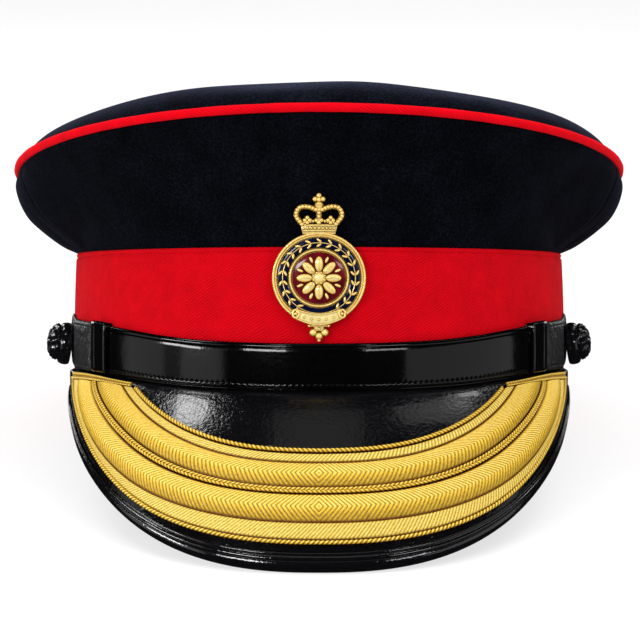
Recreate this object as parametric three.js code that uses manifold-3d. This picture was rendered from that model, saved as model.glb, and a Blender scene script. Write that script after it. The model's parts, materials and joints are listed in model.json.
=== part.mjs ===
// Forage cap: a peaked dress cap with a domed navy crown, scarlet piping and band, a black
// patent peak carrying gold lace, a patent chin strap with two buttons, and a gilt badge.
// Millimetres, +Z up, the peak towards -Y. The cap is first laid out level, with the middle
// of the band's lower edge at the origin, and then tipped back until it rests on the tip of
// the peak and the back of the band.
import * as THREE from 'three';
import Module from 'manifold-3d';

const wasm = await Module();
wasm.setup();

// Band and head opening
const BAND_HALF_WIDTH = 85.0;      // across the ears, outer face
const BAND_HALF_LENGTH = 104;      // front to back, outer face
const BAND_HEIGHT = 45;
const BAND_WALL = 3;
const BAND_SWELL = 0.3;            // how far the middle of the band stands out
const BAND_TAPER = 0.7;            // how far its upper edge draws in
const GAP = 0.3;                   // clearance left between neighbouring pieces

// Crown
const CROWN_WALL = 1.8;
const NECK_INSET = 1.0;            // the crown's foot stands this far behind the band's face
const RIM_HALF_WIDTH = 104.85;
const RIM_FRONT = -118;
const RIM_BACK = 128;
const RIM_FRONT_HEIGHT = 87.75;
const RIM_BACK_HEIGHT = 56.5;
const PIPING_RADIUS = 1.45;
const DOME_HEIGHT = 21.7;
const DOME_ROUNDNESS = { out: 1.6, up: 2.7 };  // powers of the dome's full-edged oval section
const SEAM_DEPTH = 1.75;           // the side wall stops this far under the rim
const SEAM_INSET = 1.8;            // the dome's edge stands this far inside the rim

// Peak
const PEAK_END_ANGLE = 75.5;       // degrees round from the front, where the peak stops
const PEAK_STANDOFF = 2.5;         // the peak's upper face starts this far off the band
const PEAK_THICKNESS = 2.0;
const PEAK_BULGE = 5.0;
const PEAK_HALF_WIDTH = 83.7;
const PEAK_CENTRE_Y = -8;
const PEAK_REACH = 130;
const PEAK_SQUARENESS = 2.454;
const PEAK_CORNER_ANGLE = 84.4;    // degrees on the edge curve that match the end angle
const PEAK_CORNER_HEIGHT = 6.2;
const PEAK_TIP_HEIGHT = -53.6;
const PEAK_EDGE_LIFT = 1.95;
const BINDING_SLOT = 1.5;          // how far the slot's end lies from the binding's nose
const PEAK_EDGE_GAP = 0.5;

// Chin strap
const STRAP_THICKNESS = 1.8;
const STRAP_GAP = 0.42;
const STRAP_END_ANGLE = 83.6;
const STRAP_TAB = 0.6;             // extra half width round the buttons
const TAB_RISE = 1.2;              // the tab's middle lies this far over the strap's
const STRAP_DOUBLED = 0.6;         // extra thickness where the end is folded back
const KEEPER_ANGLE = 55.5;
const KEEPER_LENGTH = 11.8;
const KEEPER_THICKNESS = 1.3;      // over the strap's face
const KEEPER_RETURN = 0.6;         // over its edges
const BUTTON_RADIUS = 7.0;

// Turns a grid of rings into one closed solid. Each ring is a closed loop of points.
function solidFromRings(rings, joinEnds) {
  const count = rings[0].length;
  const positions = [];
  const index = [];
  for (const ring of rings) for (const p of ring) positions.push(p.x, p.y, p.z);
  const last = joinEnds ? rings.length : rings.length - 1;
  for (let j = 0; j < last; j++) {
    const a = j * count;
    const b = ((j + 1) % rings.length) * count;
    for (let i = 0; i < count; i++) {
      const k = (i + 1) % count;
      index.push(a + i, a + k, b + k, a + i, b + k, b + i);
    }
  }
  if (!joinEnds) {
    closeEnd(rings[0], 0, index, false);
    closeEnd(rings[rings.length - 1], (rings.length - 1) * count, index, true);
  }
  return finished(positions, index);
}

// Closes an open end with triangles, in the ring's own plane.
function closeEnd(ring, first, index, atFarEnd) {
  const middle = new THREE.Vector3();
  ring.forEach((p) => middle.addScaledVector(p, 1 / ring.length));
  const facing = new THREE.Vector3();
  ring.forEach((p, i) => {
    const q = ring[(i + 1) % ring.length];
    facing.add(p.clone().sub(middle).cross(q.clone().sub(middle)));
  });
  facing.normalize();
  const across = ring[1].clone().sub(ring[0]).projectOnPlane(facing).normalize();
  const up = facing.clone().cross(across);
  const flat = ring.map((p) => new THREE.Vector2(p.dot(across), p.dot(up)));
  for (const [a, b, c] of THREE.ShapeUtils.triangulateShape(flat, [])) {
    if (atFarEnd) index.push(first + a, first + b, first + c);
    else index.push(first + a, first + c, first + b);
  }
}

// Drops triangles that have collapsed and turns the solid the right way out.
function finished(positions, index) {
  const at = (i) => new THREE.Vector3(positions[3 * i], positions[3 * i + 1], positions[3 * i + 2]);
  const kept = [];
  let volume = 0;
  for (let i = 0; i < index.length; i += 3) {
    const [a, b, c] = [at(index[i]), at(index[i + 1]), at(index[i + 2])];
    if (a.distanceTo(b) < 1e-4 || b.distanceTo(c) < 1e-4 || c.distanceTo(a) < 1e-4) continue;
    volume += a.dot(b.clone().cross(c));
    kept.push([index[i], index[i + 1], index[i + 2]]);
  }
  const faces = kept.flatMap(([a, b, c]) => (volume < 0 ? [a, c, b] : [a, b, c]));
  const geometry = new THREE.BufferGeometry();
  geometry.setAttribute('position', new THREE.Float32BufferAttribute(positions, 3));
  geometry.setIndex(faces);
  geometry.computeVertexNormals();
  return geometry;
}

// Joins solids into one. With a longest edge given, flat faces are cut finer than that, so
// that they can be bent afterwards.
function joined(geometries, longestEdge = 0) {
  let body = null;
  for (const geometry of geometries) {
    const next = toManifold(geometry);
    body = body ? body.add(next) : next;
  }
  const mesh = (longestEdge ? body.refineToLength(longestEdge) : body).getMesh();
  return finished(Array.from(mesh.vertProperties), Array.from(mesh.triVerts));
}

function toManifold(geometry) {
  const source = geometry.index ? geometry.toNonIndexed() : geometry;
  const place = source.attributes.position;
  const seen = new Map();
  const positions = [];
  const corners = [];
  for (let i = 0; i < place.count; i++) {
    const p = [place.getX(i), place.getY(i), place.getZ(i)];
    const key = p.map((v) => Math.round(v * 1e4)).join();
    if (!seen.has(key)) {
      seen.set(key, positions.length / 3);
      positions.push(...p);
    }
    corners.push(seen.get(key));
  }
  const triangles = [];
  for (let i = 0; i < corners.length; i += 3) {
    const [a, b, c] = corners.slice(i, i + 3);
    if (a !== b && b !== c && c !== a) triangles.push(a, b, c);
  }
  return new wasm.Manifold(new wasm.Mesh({
    numProp: 3,
    vertProperties: new Float32Array(positions),
    triVerts: new Uint32Array(triangles),
  }));
}

const radians = (degrees) => (degrees * Math.PI) / 180;
const mix = (a, b, share) => a + (b - a) * share;
const smoothStep = (x) => {
  const t = Math.min(1, Math.max(0, x));
  return t * t * (3 - 2 * t);
};

// Reads a named column of a table, smoothly, at a place given by its key column.
function readTable(rows, key, place, column) {
  const at = Math.min(rows[rows.length - 1][key], Math.max(rows[0][key], place));
  const i = Math.min(rows.length - 2, Math.max(0, rows.findIndex((row) => row[key] >= at) - 1));
  const slope = (j) => {
    const [before, after] = [rows[Math.max(0, j - 1)], rows[Math.min(rows.length - 1, j + 1)]];
    return (after[column] - before[column]) / (after[key] - before[key]);
  };
  const span = rows[i + 1][key] - rows[i][key];
  const t = (at - rows[i][key]) / span;
  const [t2, t3] = [t * t, t * t * t];
  return rows[i][column] * (2 * t3 - 3 * t2 + 1) + slope(i) * span * (t3 - 2 * t2 + t)
    + rows[i + 1][column] * (3 * t2 - 2 * t3) + slope(i + 1) * span * (t3 - t2);
}

// A point on the band's outer face, `angle` radians round from the front.
function bandFace(angle, height, off = 0) {
  const share = height / BAND_HEIGHT;
  const swell = BAND_SWELL * 4 * share * (1 - share) - BAND_TAPER * share * share;
  return new THREE.Vector3(
    (BAND_HALF_WIDTH + swell + off) * Math.sin(angle),
    -(BAND_HALF_LENGTH + swell + off) * Math.cos(angle),
    height,
  );
}

const NUDGE = 1e-3;                // radians to each side when a curve's direction is taken
const AROUND = 48;
const ringAngles = Array.from({ length: AROUND }, (_, i) => ((i + 0.5) / AROUND) * 2 * Math.PI);

const BAND_STEPS = 4;
function bandGeometry() {
  const rings = ringAngles.map((angle) => {
    const ring = [];
    for (let i = 0; i <= BAND_STEPS; i++) {
      ring.push(bandFace(angle, (BAND_HEIGHT * i) / BAND_STEPS));
    }
    ring.push(bandFace(angle, BAND_HEIGHT, -BAND_WALL));
    ring.push(bandFace(angle, 0, -BAND_WALL));
    return ring;
  });
  return solidFromRings(rings, true);
}

// The rim is a flat oval that tips up at the front.
const RIM_CENTRE_Y = (RIM_FRONT + RIM_BACK) / 2;
const RIM_HALF_LENGTH = (RIM_BACK - RIM_FRONT) / 2;
const RIM_CENTRE_HEIGHT = (RIM_FRONT_HEIGHT + RIM_BACK_HEIGHT) / 2;
const RIM_SLOPE = (RIM_BACK_HEIGHT - RIM_FRONT_HEIGHT) / (RIM_BACK - RIM_FRONT);

function rimPoint(angle, inset, lift) {
  const y = RIM_CENTRE_Y - (RIM_HALF_LENGTH - inset) * Math.cos(angle);
  return new THREE.Vector3(
    (RIM_HALF_WIDTH - inset) * Math.sin(angle),
    y,
    RIM_CENTRE_HEIGHT + RIM_SLOPE * (y - RIM_CENTRE_Y) + lift,
  );
}

// How far the crown's side wall has spread outwards at each share of its rise. The front is
// stiffened and stands nearly upright low down; the sides belly out at once.
const wallShape = [
  { rise: 0, side: 0.03, front: 0 },
  { rise: 0.08, side: 0.25, front: 0.03 },
  { rise: 0.2, side: 0.47, front: 0.09 },
  { rise: 0.33, side: 0.67, front: 0.18 },
  { rise: 0.46, side: 0.84, front: 0.3 },
  { rise: 0.6, side: 0.95, front: 0.46 },
  { rise: 0.74, side: 1.02, front: 0.65 },
  { rise: 0.88, side: 1.05, front: 0.86 },
  { rise: 1, side: 1.0, front: 0.985 },
];
// The front's shape turns into the sides' between these degrees round from the front: over a
// long stretch near the rim, and in a sharp fold just above the band.
const turnAtRim = { from: 55, to: 85 };
const turnAtFold = { from: 70, to: 81 };
const FOLD_RISE = 0.5;             // share of the rise at which the fold has faded out

function sideShare(angle, rise) {
  const turn = Math.abs(Math.atan2(Math.sin(angle), Math.cos(angle)));
  const fade = smoothStep(rise / FOLD_RISE);
  const from = radians(mix(turnAtFold.from, turnAtRim.from, fade));
  const to = radians(mix(turnAtFold.to, turnAtRim.to, fade));
  return smoothStep((turn - from) / (to - from));
}

function wallProfile(angle) {
  const foot = bandFace(angle, BAND_HEIGHT, -NECK_INSET);
  const rim = rimPoint(angle, 0, -SEAM_DEPTH);
  const outwards = new THREE.Vector3(rim.x - foot.x, rim.y - foot.y, 0);
  const reach = outwards.length();
  outwards.normalize();
  const outer = wallShape.map((row) => ({
    out: reach * mix(row.front, row.side, sideShare(angle, row.rise)),
    up: GAP + (rim.z - foot.z - GAP) * row.rise,
  }));
  return { foot, outwards, outer };
}

// The wall is cut as four panels, which meet in upright seams. Degrees round from the front.
const crownPanels = [
  { name: 'crown_front', from: -75, to: 75 },
  { name: 'crown_right', from: 75, to: 135 },
  { name: 'crown_back', from: 135, to: 225 },
  { name: 'crown_left', from: 225, to: 285 },
];

function crownPanelGeometry({ from, to }) {
  const seam = GAP / 2 / RIM_HALF_WIDTH;
  const [start, end] = [radians(from) + seam, radians(to) - seam];
  const turned = [...ringAngles.map((angle) => angle - 2 * Math.PI), ...ringAngles];
  const inside = turned.filter((angle) => angle > start && angle < end);
  const rings = [start, ...inside, end].map((angle) => {
    const { foot, outwards, outer } = wallProfile(angle);
    const place = ({ out, up }) => foot.clone().addScaledVector(outwards, out).setZ(foot.z + up);
    const inner = outer.map((point, i) => {
      const before = outer[Math.max(0, i - 1)];
      const after = outer[Math.min(outer.length - 1, i + 1)];
      const run = Math.hypot(after.out - before.out, after.up - before.up);
      return {
        out: point.out - (CROWN_WALL * (after.up - before.up)) / run,
        up: point.up + (CROWN_WALL * (after.out - before.out)) / run,
      };
    });
    inner[0] = { out: outer[0].out - CROWN_WALL, up: outer[0].up };
    // The wall turns in under the dome's edge as a narrow seam allowance.
    const flange = SEAM_INSET + CROWN_WALL;
    return [
      ...outer.map(place),
      rimPoint(angle, flange, -SEAM_DEPTH),
      rimPoint(angle, flange, -SEAM_DEPTH - CROWN_WALL),
      rimPoint(angle, CROWN_WALL, -SEAM_DEPTH - 2 * CROWN_WALL),
      ...inner.slice(0, -2).filter((_, i) => i % 2 === 0).reverse().map(place),
    ];
  });
  return solidFromRings(rings, false);
}

// Shares of the rim's size at which the dome is cut into rings, rim to middle.
const domeShares = [1, 0.997, 0.983, 0.95, 0.89, 0.78, 0.6, 0.35, 0.001];
function crownTopGeometry() {
  const lip = GAP - SEAM_DEPTH;
  const last = domeShares.length - 1;
  const shell = (angle, share, inset, height, foot) => {
    const edge = rimPoint(angle, inset, 0);
    const heart = new THREE.Vector3(0, RIM_CENTRE_Y, RIM_CENTRE_HEIGHT);
    const p = heart.lerp(edge, share);
    const { out, up } = DOME_ROUNDNESS;
    p.z += foot + (height - foot) * Math.max(0, 1 - share ** out) ** (1 / up);
    return p;
  };
  const rings = ringAngles.map((angle) => {
    const outer = domeShares.map((s) => shell(angle, s, SEAM_INSET, DOME_HEIGHT, lip));
    const inner = domeShares.map((s) => (
      shell(angle, s, SEAM_INSET + CROWN_WALL, DOME_HEIGHT - CROWN_WALL, lip)));
    return [...outer, ...inner.filter((_, i) => i % 2 === 0 || i === last).reverse()];
  });
  return solidFromRings(rings, true);
}

// A round bar bent along a list of points, closed on itself.
function roundRing(centreAt, radius, sides) {
  const rings = ringAngles.map((angle) => {
    const ahead = centreAt(angle + NUDGE).sub(centreAt(angle - NUDGE)).normalize();
    const across = new THREE.Vector3(0, 0, 1).cross(ahead).normalize();
    const up = ahead.clone().cross(across);
    return Array.from({ length: sides }, (_, i) => {
      const turn = ((i + 0.5) / sides) * 2 * Math.PI;
      return centreAt(angle)
        .addScaledVector(across, radius * Math.cos(turn))
        .addScaledVector(up, radius * Math.sin(turn));
    });
  });
  return solidFromRings(rings, true);
}

// Heights over the band's lower edge, by degrees round from the front: the middle of the
// chin strap, half its width, and the line along which the peak leaves the band.
const bandTrim = [
  { angle: 0, middle: 7.5, half: 7.2, root: -0.8 },
  { angle: 12, middle: 7.7, half: 7.2, root: -0.6 },
  { angle: 25, middle: 8.4, half: 7.3, root: 0.2 },
  { angle: 35, middle: 9.5, half: 7.5, root: 1.2 },
  { angle: 45, middle: 11.1, half: 7.7, root: 2.8 },
  { angle: 55, middle: 12.6, half: 7.9, root: 4.0 },
  { angle: 65, middle: 13.6, half: 8.1, root: 4.6 },
  { angle: 77, middle: 14.4, half: 8.2, root: 5.1 },
  { angle: 92, middle: 15.2, half: 8.2, root: 5.3 },
];
const degrees = (angle) => THREE.MathUtils.radToDeg(Math.abs(angle));
const trimHeight = (angle, column) => readTable(bandTrim, 'angle', degrees(angle), column);

// The peak is a sheet of straight ribs from the band's foot to its outer edge, bulged along
// its own upright direction.
function peakRoot(angle) {
  return bandFace(angle, 0, PEAK_STANDOFF).setZ(trimHeight(angle, 'root'));
}

function peakEdge(angle) {
  const turn = (angle * PEAK_CORNER_ANGLE) / PEAK_END_ANGLE;
  const power = 2 / PEAK_SQUARENESS;
  const reach = Math.abs(Math.cos(turn)) ** power;
  return new THREE.Vector3(
    Math.sign(turn) * PEAK_HALF_WIDTH * Math.abs(Math.sin(turn)) ** power,
    PEAK_CENTRE_Y - PEAK_REACH * reach,
    mix(PEAK_CORNER_HEIGHT, PEAK_TIP_HEIGHT, reach) + PEAK_EDGE_LIFT * 4 * reach * (1 - reach),
  );
}

const FULL_RIB = 66;               // rib length at which the bulge is full
function peakPoint(angle, along, lift) {
  const root = peakRoot(angle);
  const rib = peakEdge(angle).sub(root);
  const sideways = peakRoot(angle + NUDGE).sub(peakRoot(angle - NUDGE))
    .add(peakEdge(angle + NUDGE)).sub(peakEdge(angle - NUDGE));
  const upright = rib.clone().cross(sideways).normalize();
  const bulge = PEAK_BULGE * (rib.length() / FULL_RIB) * 4 * along * (1 - along);
  return root.addScaledVector(rib, along).addScaledVector(upright, bulge + lift);
}
const ribLength = (angle) => peakEdge(angle).distanceTo(peakRoot(angle));

// The sheet and its binding get narrower and thinner where the ribs shorten at the corners.
const NARROWING_RIB = 18;
const CORNER_THINNESS = 0.25;
const cornerShare = (angle) => Math.min(1, ribLength(angle) / NARROWING_RIB);
const thinned = (angle, lift) => (
  lift < 0 ? lift * mix(CORNER_THINNESS, 1, cornerShare(angle)) : lift);

function evenly(from, to, count) {
  return Array.from({ length: count }, (_, i) => mix(from, to, i / (count - 1)));
}
// Stations across the peak, closer together towards its corners.
const peakAngles = evenly(-1, 1, 39).map((place) => (
  radians(PEAK_END_ANGLE) * (1.3 * place - 0.3 * place ** 3)));

function peakGeometry() {
  const rings = peakAngles.map((angle) => {
    const slot = (BINDING_SLOT + PEAK_EDGE_GAP) * cornerShare(angle);
    const stop = 1 - slot / ribLength(angle);
    const stops = evenly(0, stop, 8);
    return [
      ...stops.map((s) => peakPoint(angle, s, 0)),
      ...stops.slice().reverse().map((s) => peakPoint(angle, s, thinned(angle, -PEAK_THICKNESS))),
    ];
  });
  return solidFromRings(rings, false);
}

// Section of the edge binding: distance in from its nose, and height over the peak's face.
const bindingSection = [
  { inwards: 5.0, lift: 0.95 }, { inwards: 2.8, lift: 1.25 }, { inwards: 0.9, lift: 0.9 },
  { inwards: 0, lift: -0.4 }, { inwards: 0, lift: -1.5 }, { inwards: 0.9, lift: -2.6 },
  { inwards: 2.8, lift: -3.0 }, { inwards: 5.0, lift: -2.9 },
  { inwards: 5.0, lift: -2.45 }, { inwards: BINDING_SLOT, lift: -2.45 },
  { inwards: BINDING_SLOT, lift: 0.3 }, { inwards: 5.0, lift: 0.3 },
];
function bindingGeometry() {
  const rings = peakAngles.map((angle) => (
    bindingSection.map(({ inwards, lift }) => {
      const along = 1 - (inwards * cornerShare(angle)) / ribLength(angle);
      return peakPoint(angle, along, thinned(angle, lift));
    })));
  return solidFromRings(rings, false);
}

// Lines that the gold lace follows over the peak. `start` is how far down the middle rib a
// line lies; from there it curves back up to the band and meets it at `end` degrees.
const laceLines = [
  { start: 0.36, end: 43, flatness: 2.8, fullness: 1.0 },
  { start: 0.446, end: 47, flatness: 2.8, fullness: 0.85 },
  { start: 0.6, end: 56, flatness: 3.0, fullness: 0.6 },
  { start: 0.766, end: 63.5, flatness: 5.5, fullness: 0.58 },
  { start: 0.87, end: 68, flatness: 5.0, fullness: 0.75 },
];
const LACE_END_CLEARANCE = 3.4;    // the lines stop this far short of the peak's root

function laceLine(start) {
  const end = radians(readTable(laceLines, 'start', start, 'end'));
  const flatness = readTable(laceLines, 'start', start, 'flatness');
  const fullness = readTable(laceLines, 'start', start, 'fullness');
  const along = (angle) => (
    start * Math.max(0, 1 - (Math.abs(angle) / end) ** flatness) ** fullness);
  let [low, high] = [0, end];
  for (let i = 0; i < 40; i++) {
    const middle = (low + high) / 2;
    if (along(middle) * ribLength(middle) > LACE_END_CLEARANCE) low = middle;
    else high = middle;
  }
  return { along, stop: low };
}

// Sections of the lace pieces: share of the width, and height in millimetres over the peak.
const flatSection = [
  { share: 0, lift: 0.4 }, { share: 0, lift: 0.9 }, { share: 0.12, lift: 1.1 },
  { share: 0.88, lift: 1.1 }, { share: 1, lift: 0.9 }, { share: 1, lift: 0.4 },
];
const paddedSection = [
  { share: 0, lift: 0.45 }, { share: 0, lift: 0.9 }, { share: 0.15, lift: 1.7 },
  { share: 0.38, lift: 2.25 }, { share: 0.62, lift: 2.25 }, { share: 0.85, lift: 1.7 },
  { share: 1, lift: 0.9 }, { share: 1, lift: 0.45 },
  { share: 0.5, lift: 0.45 },
];
const cordSection = [
  { share: 0.2, lift: 0.4 }, { share: 0, lift: 1 }, { share: 0.25, lift: 1.6 },
  { share: 0.75, lift: 1.6 }, { share: 1, lift: 1 }, { share: 0.8, lift: 0.4 },
];
const doubleCordSection = [
  { share: 0.1, lift: 0.4 }, { share: 0, lift: 0.9 }, { share: 0.22, lift: 1.4 },
  { share: 0.5, lift: 1 }, { share: 0.78, lift: 1.4 }, { share: 1, lift: 0.9 },
  { share: 0.9, lift: 0.4 },
];
const lacePieces = [
  { name: 'lace_cord_upper', from: 0.365, to: 0.388, section: cordSection },
  { name: 'lace_strip_upper', from: 0.395, to: 0.442, section: flatSection },
  { name: 'lace_bar_upper', from: 0.45, to: 0.579, section: paddedSection },
  { name: 'lace_cord_middle', from: 0.586, to: 0.616, section: doubleCordSection },
  { name: 'lace_bar_lower', from: 0.624, to: 0.763, section: paddedSection },
  { name: 'lace_strip_lower', from: 0.77, to: 0.852, section: flatSection },
  { name: 'lace_cord_lower', from: 0.859, to: 0.881, section: cordSection },
];
const LACE_STEPS = 31;
function laceGeometry({ from, to, section }) {
  const [upper, lower] = [laceLine(from), laceLine(to)];
  const rings = evenly(-1, 1, LACE_STEPS).map((turn) => section.map(({ share, lift }) => {
    const angle = turn * mix(upper.stop, lower.stop, share);
    const atUpper = upper.along(turn * upper.stop);
    const atLower = lower.along(turn * lower.stop);
    return peakPoint(angle, mix(atUpper, atLower, share), lift);
  }));
  return solidFromRings(rings, false);
}

// The lace's ends by the band are finished by a short strip with a cord along each edge.
const endSection = [
  { down: 2.9, lift: 0.4 }, { down: 2.9, lift: 1.1 }, { down: 2.5, lift: 1.5 },
  { down: 2.0, lift: 1.1 }, { down: 1.1, lift: 1.1 }, { down: 0.7, lift: 1.4 },
  { down: 0.3, lift: 1.1 }, { down: 0.3, lift: 0.4 },
];
const LACE_END_FROM = 42.5;
const LACE_END_TO = 67.5;
function laceEndGeometry(side) {
  const angles = evenly(radians(LACE_END_FROM), radians(LACE_END_TO), 12);
  const rings = angles.map((angle) => endSection.map(({ down, lift }) => (
    peakPoint(side * angle, down / ribLength(angle), lift))));
  return solidFromRings(rings, false);
}

// The chin strap lies round the front of the band and climbs towards the buttons. Its ends
// widen into tabs and are rounded off; lengths are measured from the end.
const TAB_LENGTH = 6;
const TAB_BLEND = 10;
const END_ROUNDING = 9.3;
const LEAST_ROUNDING = 0.12;       // square of the width's share left at the very end
const strapToEnd = (angle) => (radians(STRAP_END_ANGLE) - Math.abs(angle)) * BAND_HALF_LENGTH;
const tabShare = (angle) => smoothStep(1 - (strapToEnd(angle) - TAB_LENGTH) / TAB_BLEND);

function strapHalfWidth(angle) {
  const cut = Math.max(0, 1 - strapToEnd(angle) / END_ROUNDING);
  const whole = trimHeight(angle, 'half') + STRAP_TAB * tabShare(angle);
  return whole * Math.sqrt(Math.max(LEAST_ROUNDING, 1 - cut ** 2));
}

// The strap's end is folded back between these degrees, and grows thicker over a short step.
const doubled = { from: 59.3, to: 72, stepUp: 1.5, stepDown: 3 };
function strapExtra(angle) {
  const place = degrees(angle);
  return STRAP_DOUBLED * smoothStep((place - doubled.from) / doubled.stepUp)
    * smoothStep((doubled.to - place) / doubled.stepDown);
}

// A point on the strap: `across` from -1 at its lower edge to 1 at its upper edge.
function strapPoint(angle, across, off) {
  const middle = trimHeight(angle, 'middle') + TAB_RISE * tabShare(angle);
  const height = middle + across * strapHalfWidth(angle);
  return bandFace(angle, height, STRAP_GAP + off * (1 + strapExtra(angle) / STRAP_THICKNESS));
}
const strapSection = [
  { across: -1, off: 0 }, { across: -1, off: 1.2 }, { across: -0.9, off: STRAP_THICKNESS },
  { across: 0.9, off: STRAP_THICKNESS }, { across: 1, off: 1.2 }, { across: 1, off: 0 },
];
const strapEndStations = [0.35, 1.2, 2.5, 4.5, 7, 10, 14];  // from the end
const foldStations = [72, 70.5, 69, 65, 60.8, 60, 59.3];    // degrees round from the front
const STRAP_STATIONS = 24;
function strapGeometry() {
  const end = radians(STRAP_END_ANGLE);
  const ends = [
    ...strapEndStations.map((length) => end - length / BAND_HALF_LENGTH),
    ...foldStations.map(radians),
  ];
  const inside = evenly(-radians(KEEPER_ANGLE), radians(KEEPER_ANGLE), STRAP_STATIONS);
  const angles = [...ends.map((a) => -a), ...inside, ...ends.reverse()];
  const rings = angles.map((angle) => (
    strapSection.map(({ across, off }) => strapPoint(angle, across, off))));
  return solidFromRings(rings, false);
}

// A keeper is a loop of the same leather: a flat front and a return over the upper edge.
const KEEPER_FOOT = 0.4;           // its lower end stops this far over the strap's lower edge
const KEEPER_EASE = 0.6;           // its outer corners are cut off by this much
function keeperGeometry(side) {
  const reach = STRAP_THICKNESS + STRAP_GAP;
  const half = KEEPER_LENGTH / 2 / BAND_HALF_LENGTH;
  const middle = radians(KEEPER_ANGLE);
  const rings = evenly(middle - half, middle + half, 4).map((angle) => {
    const edge = trimHeight(angle, 'half') + GAP;
    const outside = edge + KEEPER_RETURN;
    const foot = KEEPER_FOOT - edge;
    const face = reach + KEEPER_THICKNESS;
    const section = [
      { up: foot, off: reach }, { up: edge, off: reach }, { up: edge, off: 0 },
      { up: outside, off: 0 }, { up: outside, off: face - KEEPER_EASE },
      { up: outside - KEEPER_EASE, off: face }, { up: foot + KEEPER_EASE, off: face },
      { up: foot, off: face - KEEPER_EASE },
    ];
    return section.map(({ up, off }) => (
      bandFace(side * angle, trimHeight(angle, 'middle') + up, GAP + off)));
  });
  return solidFromRings(rings, false);
}

// A ball-like button on a collar. Its axis stands square to the band's face.
const buttonProfile = [
  { radius: 0, out: 0 }, { radius: 5.4, out: 0 }, { radius: 6.6, out: 0.6 },
  { radius: BUTTON_RADIUS, out: 1.7 }, { radius: 6.7, out: 2.8 }, { radius: 6.1, out: 3.1 },
  { radius: 6.1, out: 3.5 }, { radius: 5.3, out: 5.2 }, { radius: 3.7, out: 6.3 },
  { radius: 1.7, out: 6.9 }, { radius: 0, out: 7.0 },
];
const BUTTON_ANGLE = 78;
const BUTTON_HEIGHT = 14.3;
function buttonGeometry(side) {
  const angle = radians(BUTTON_ANGLE) * side;
  const [ahead, aside] = [BAND_HALF_WIDTH * Math.cos(angle), BAND_HALF_LENGTH * Math.sin(angle)];
  const lean = Math.atan2(ahead, Math.abs(aside));
  const profile = buttonProfile.map(({ radius, out }) => new THREE.Vector2(radius, out));
  const lathe = new THREE.LatheGeometry(profile, 12);
  lathe.rotateZ(-Math.PI / 2);
  lathe.rotateZ(side < 0 ? Math.PI + lean : -lean);
  const seat = bandFace(angle, BUTTON_HEIGHT, STRAP_GAP + GAP + STRAP_THICKNESS);
  lathe.translate(seat.x, seat.y, seat.z);
  return joined([lathe]);
}

// The badge is drawn flat, with x across, y up and z outwards, and then bent to the curve of
// the band's front and leant to the crown's.
const BADGE_CENTRE_HEIGHT = 35.2;
const BADGE_CURVE = BAND_HALF_WIDTH ** 2 / BAND_HALF_LENGTH;
const BADGE_LEAN = 0.055;
const BADGE_STANDOFF = 0.9;
const RING_OUTER = 14.4;
const RING_INNER = 12.9;
const COLLAR_OUTER = 9.15;
const COLLAR_INNER = 8.4;
const CIRCLE_SIDES = 30;
const BADGE_FACET = 8;

function bentOntoFront(geometry) {
  const place = geometry.attributes.position;
  for (let i = 0; i < place.count; i++) {
    const [x, y, z] = [place.getX(i), place.getY(i), place.getZ(i)];
    const lean = BADGE_LEAN * Math.max(0, y + RING_OUTER / 2);
    const turn = x / BADGE_CURVE;
    const radius = BADGE_CURVE + z + BADGE_STANDOFF;
    place.setXYZ(
      i,
      radius * Math.sin(turn),
      BADGE_CURVE - BAND_HALF_LENGTH - lean - radius * Math.cos(turn),
      BADGE_CENTRE_HEIGHT + y,
    );
  }
  return finished(Array.from(place.array), Array.from(geometry.index.array));
}

function disc(radius, from, to, sides = CIRCLE_SIDES) {
  const geometry = new THREE.CylinderGeometry(radius, radius, to - from, sides, 1);
  geometry.rotateX(Math.PI / 2);
  geometry.translate(0, 0, (from + to) / 2);
  return geometry;
}

function hoop(outer, inner, from, to, sides = CIRCLE_SIDES) {
  const shape = new THREE.Shape();
  shape.absarc(0, 0, outer, 0, 2 * Math.PI);
  const hole = new THREE.Path();
  hole.absarc(0, 0, inner, 0, 2 * Math.PI);
  shape.holes.push(hole);
  const options = { depth: to - from, bevelEnabled: false, curveSegments: sides / 2 };
  const geometry = new THREE.ExtrudeGeometry(shape, options);
  geometry.translate(0, 0, from);
  return geometry;
}

function ball(radius, x, y, z, flattened) {
  const geometry = new THREE.SphereGeometry(radius, 6, 4);
  geometry.scale(1, 1, flattened);
  geometry.translate(x, y, z);
  return geometry;
}

function plate(points, from, to) {
  const shape = new THREE.Shape(points.map(([x, y]) => new THREE.Vector2(x, y)));
  const options = { depth: to - from, bevelEnabled: false };
  const geometry = new THREE.ExtrudeGeometry(shape, options);
  geometry.translate(0, 0, from);
  return geometry;
}

const CROWN_FOOT = 13.6;           // height of the small crown's foot above the ring's middle

// Flat plates of the badge: corners, and how far they start and end off the badge's back.
const badgePlates = [
  // Splayed circlet of the small crown
  { outline: [[-4.9, 13.6], [4.9, 13.6], [5.6, 16.8], [-5.6, 16.8]], from: 0.2, to: 2.2 },
  // Post in the middle of the small crown, and the stem under the trefoil
  { outline: [[-0.8, 16.4], [0.8, 16.4], [0.7, 21.6], [-0.7, 21.6]], from: 0.4, to: 1.9 },
  { outline: [[-0.6, 23.2], [0.6, 23.2], [0.5, 25], [-0.5, 25]], from: 0.8, to: 1.9 },
  // Stem and cross bar of the pendant
  { outline: [[-1.5, -16.4], [1.5, -16.4], [1.2, -13.4], [-1.2, -13.4]], from: 0.3, to: 1.9 },
  { outline: [[-3.1, -15], [3.1, -15], [2.7, -14], [-2.7, -14]], from: 0.3, to: 2.2 },
];

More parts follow.
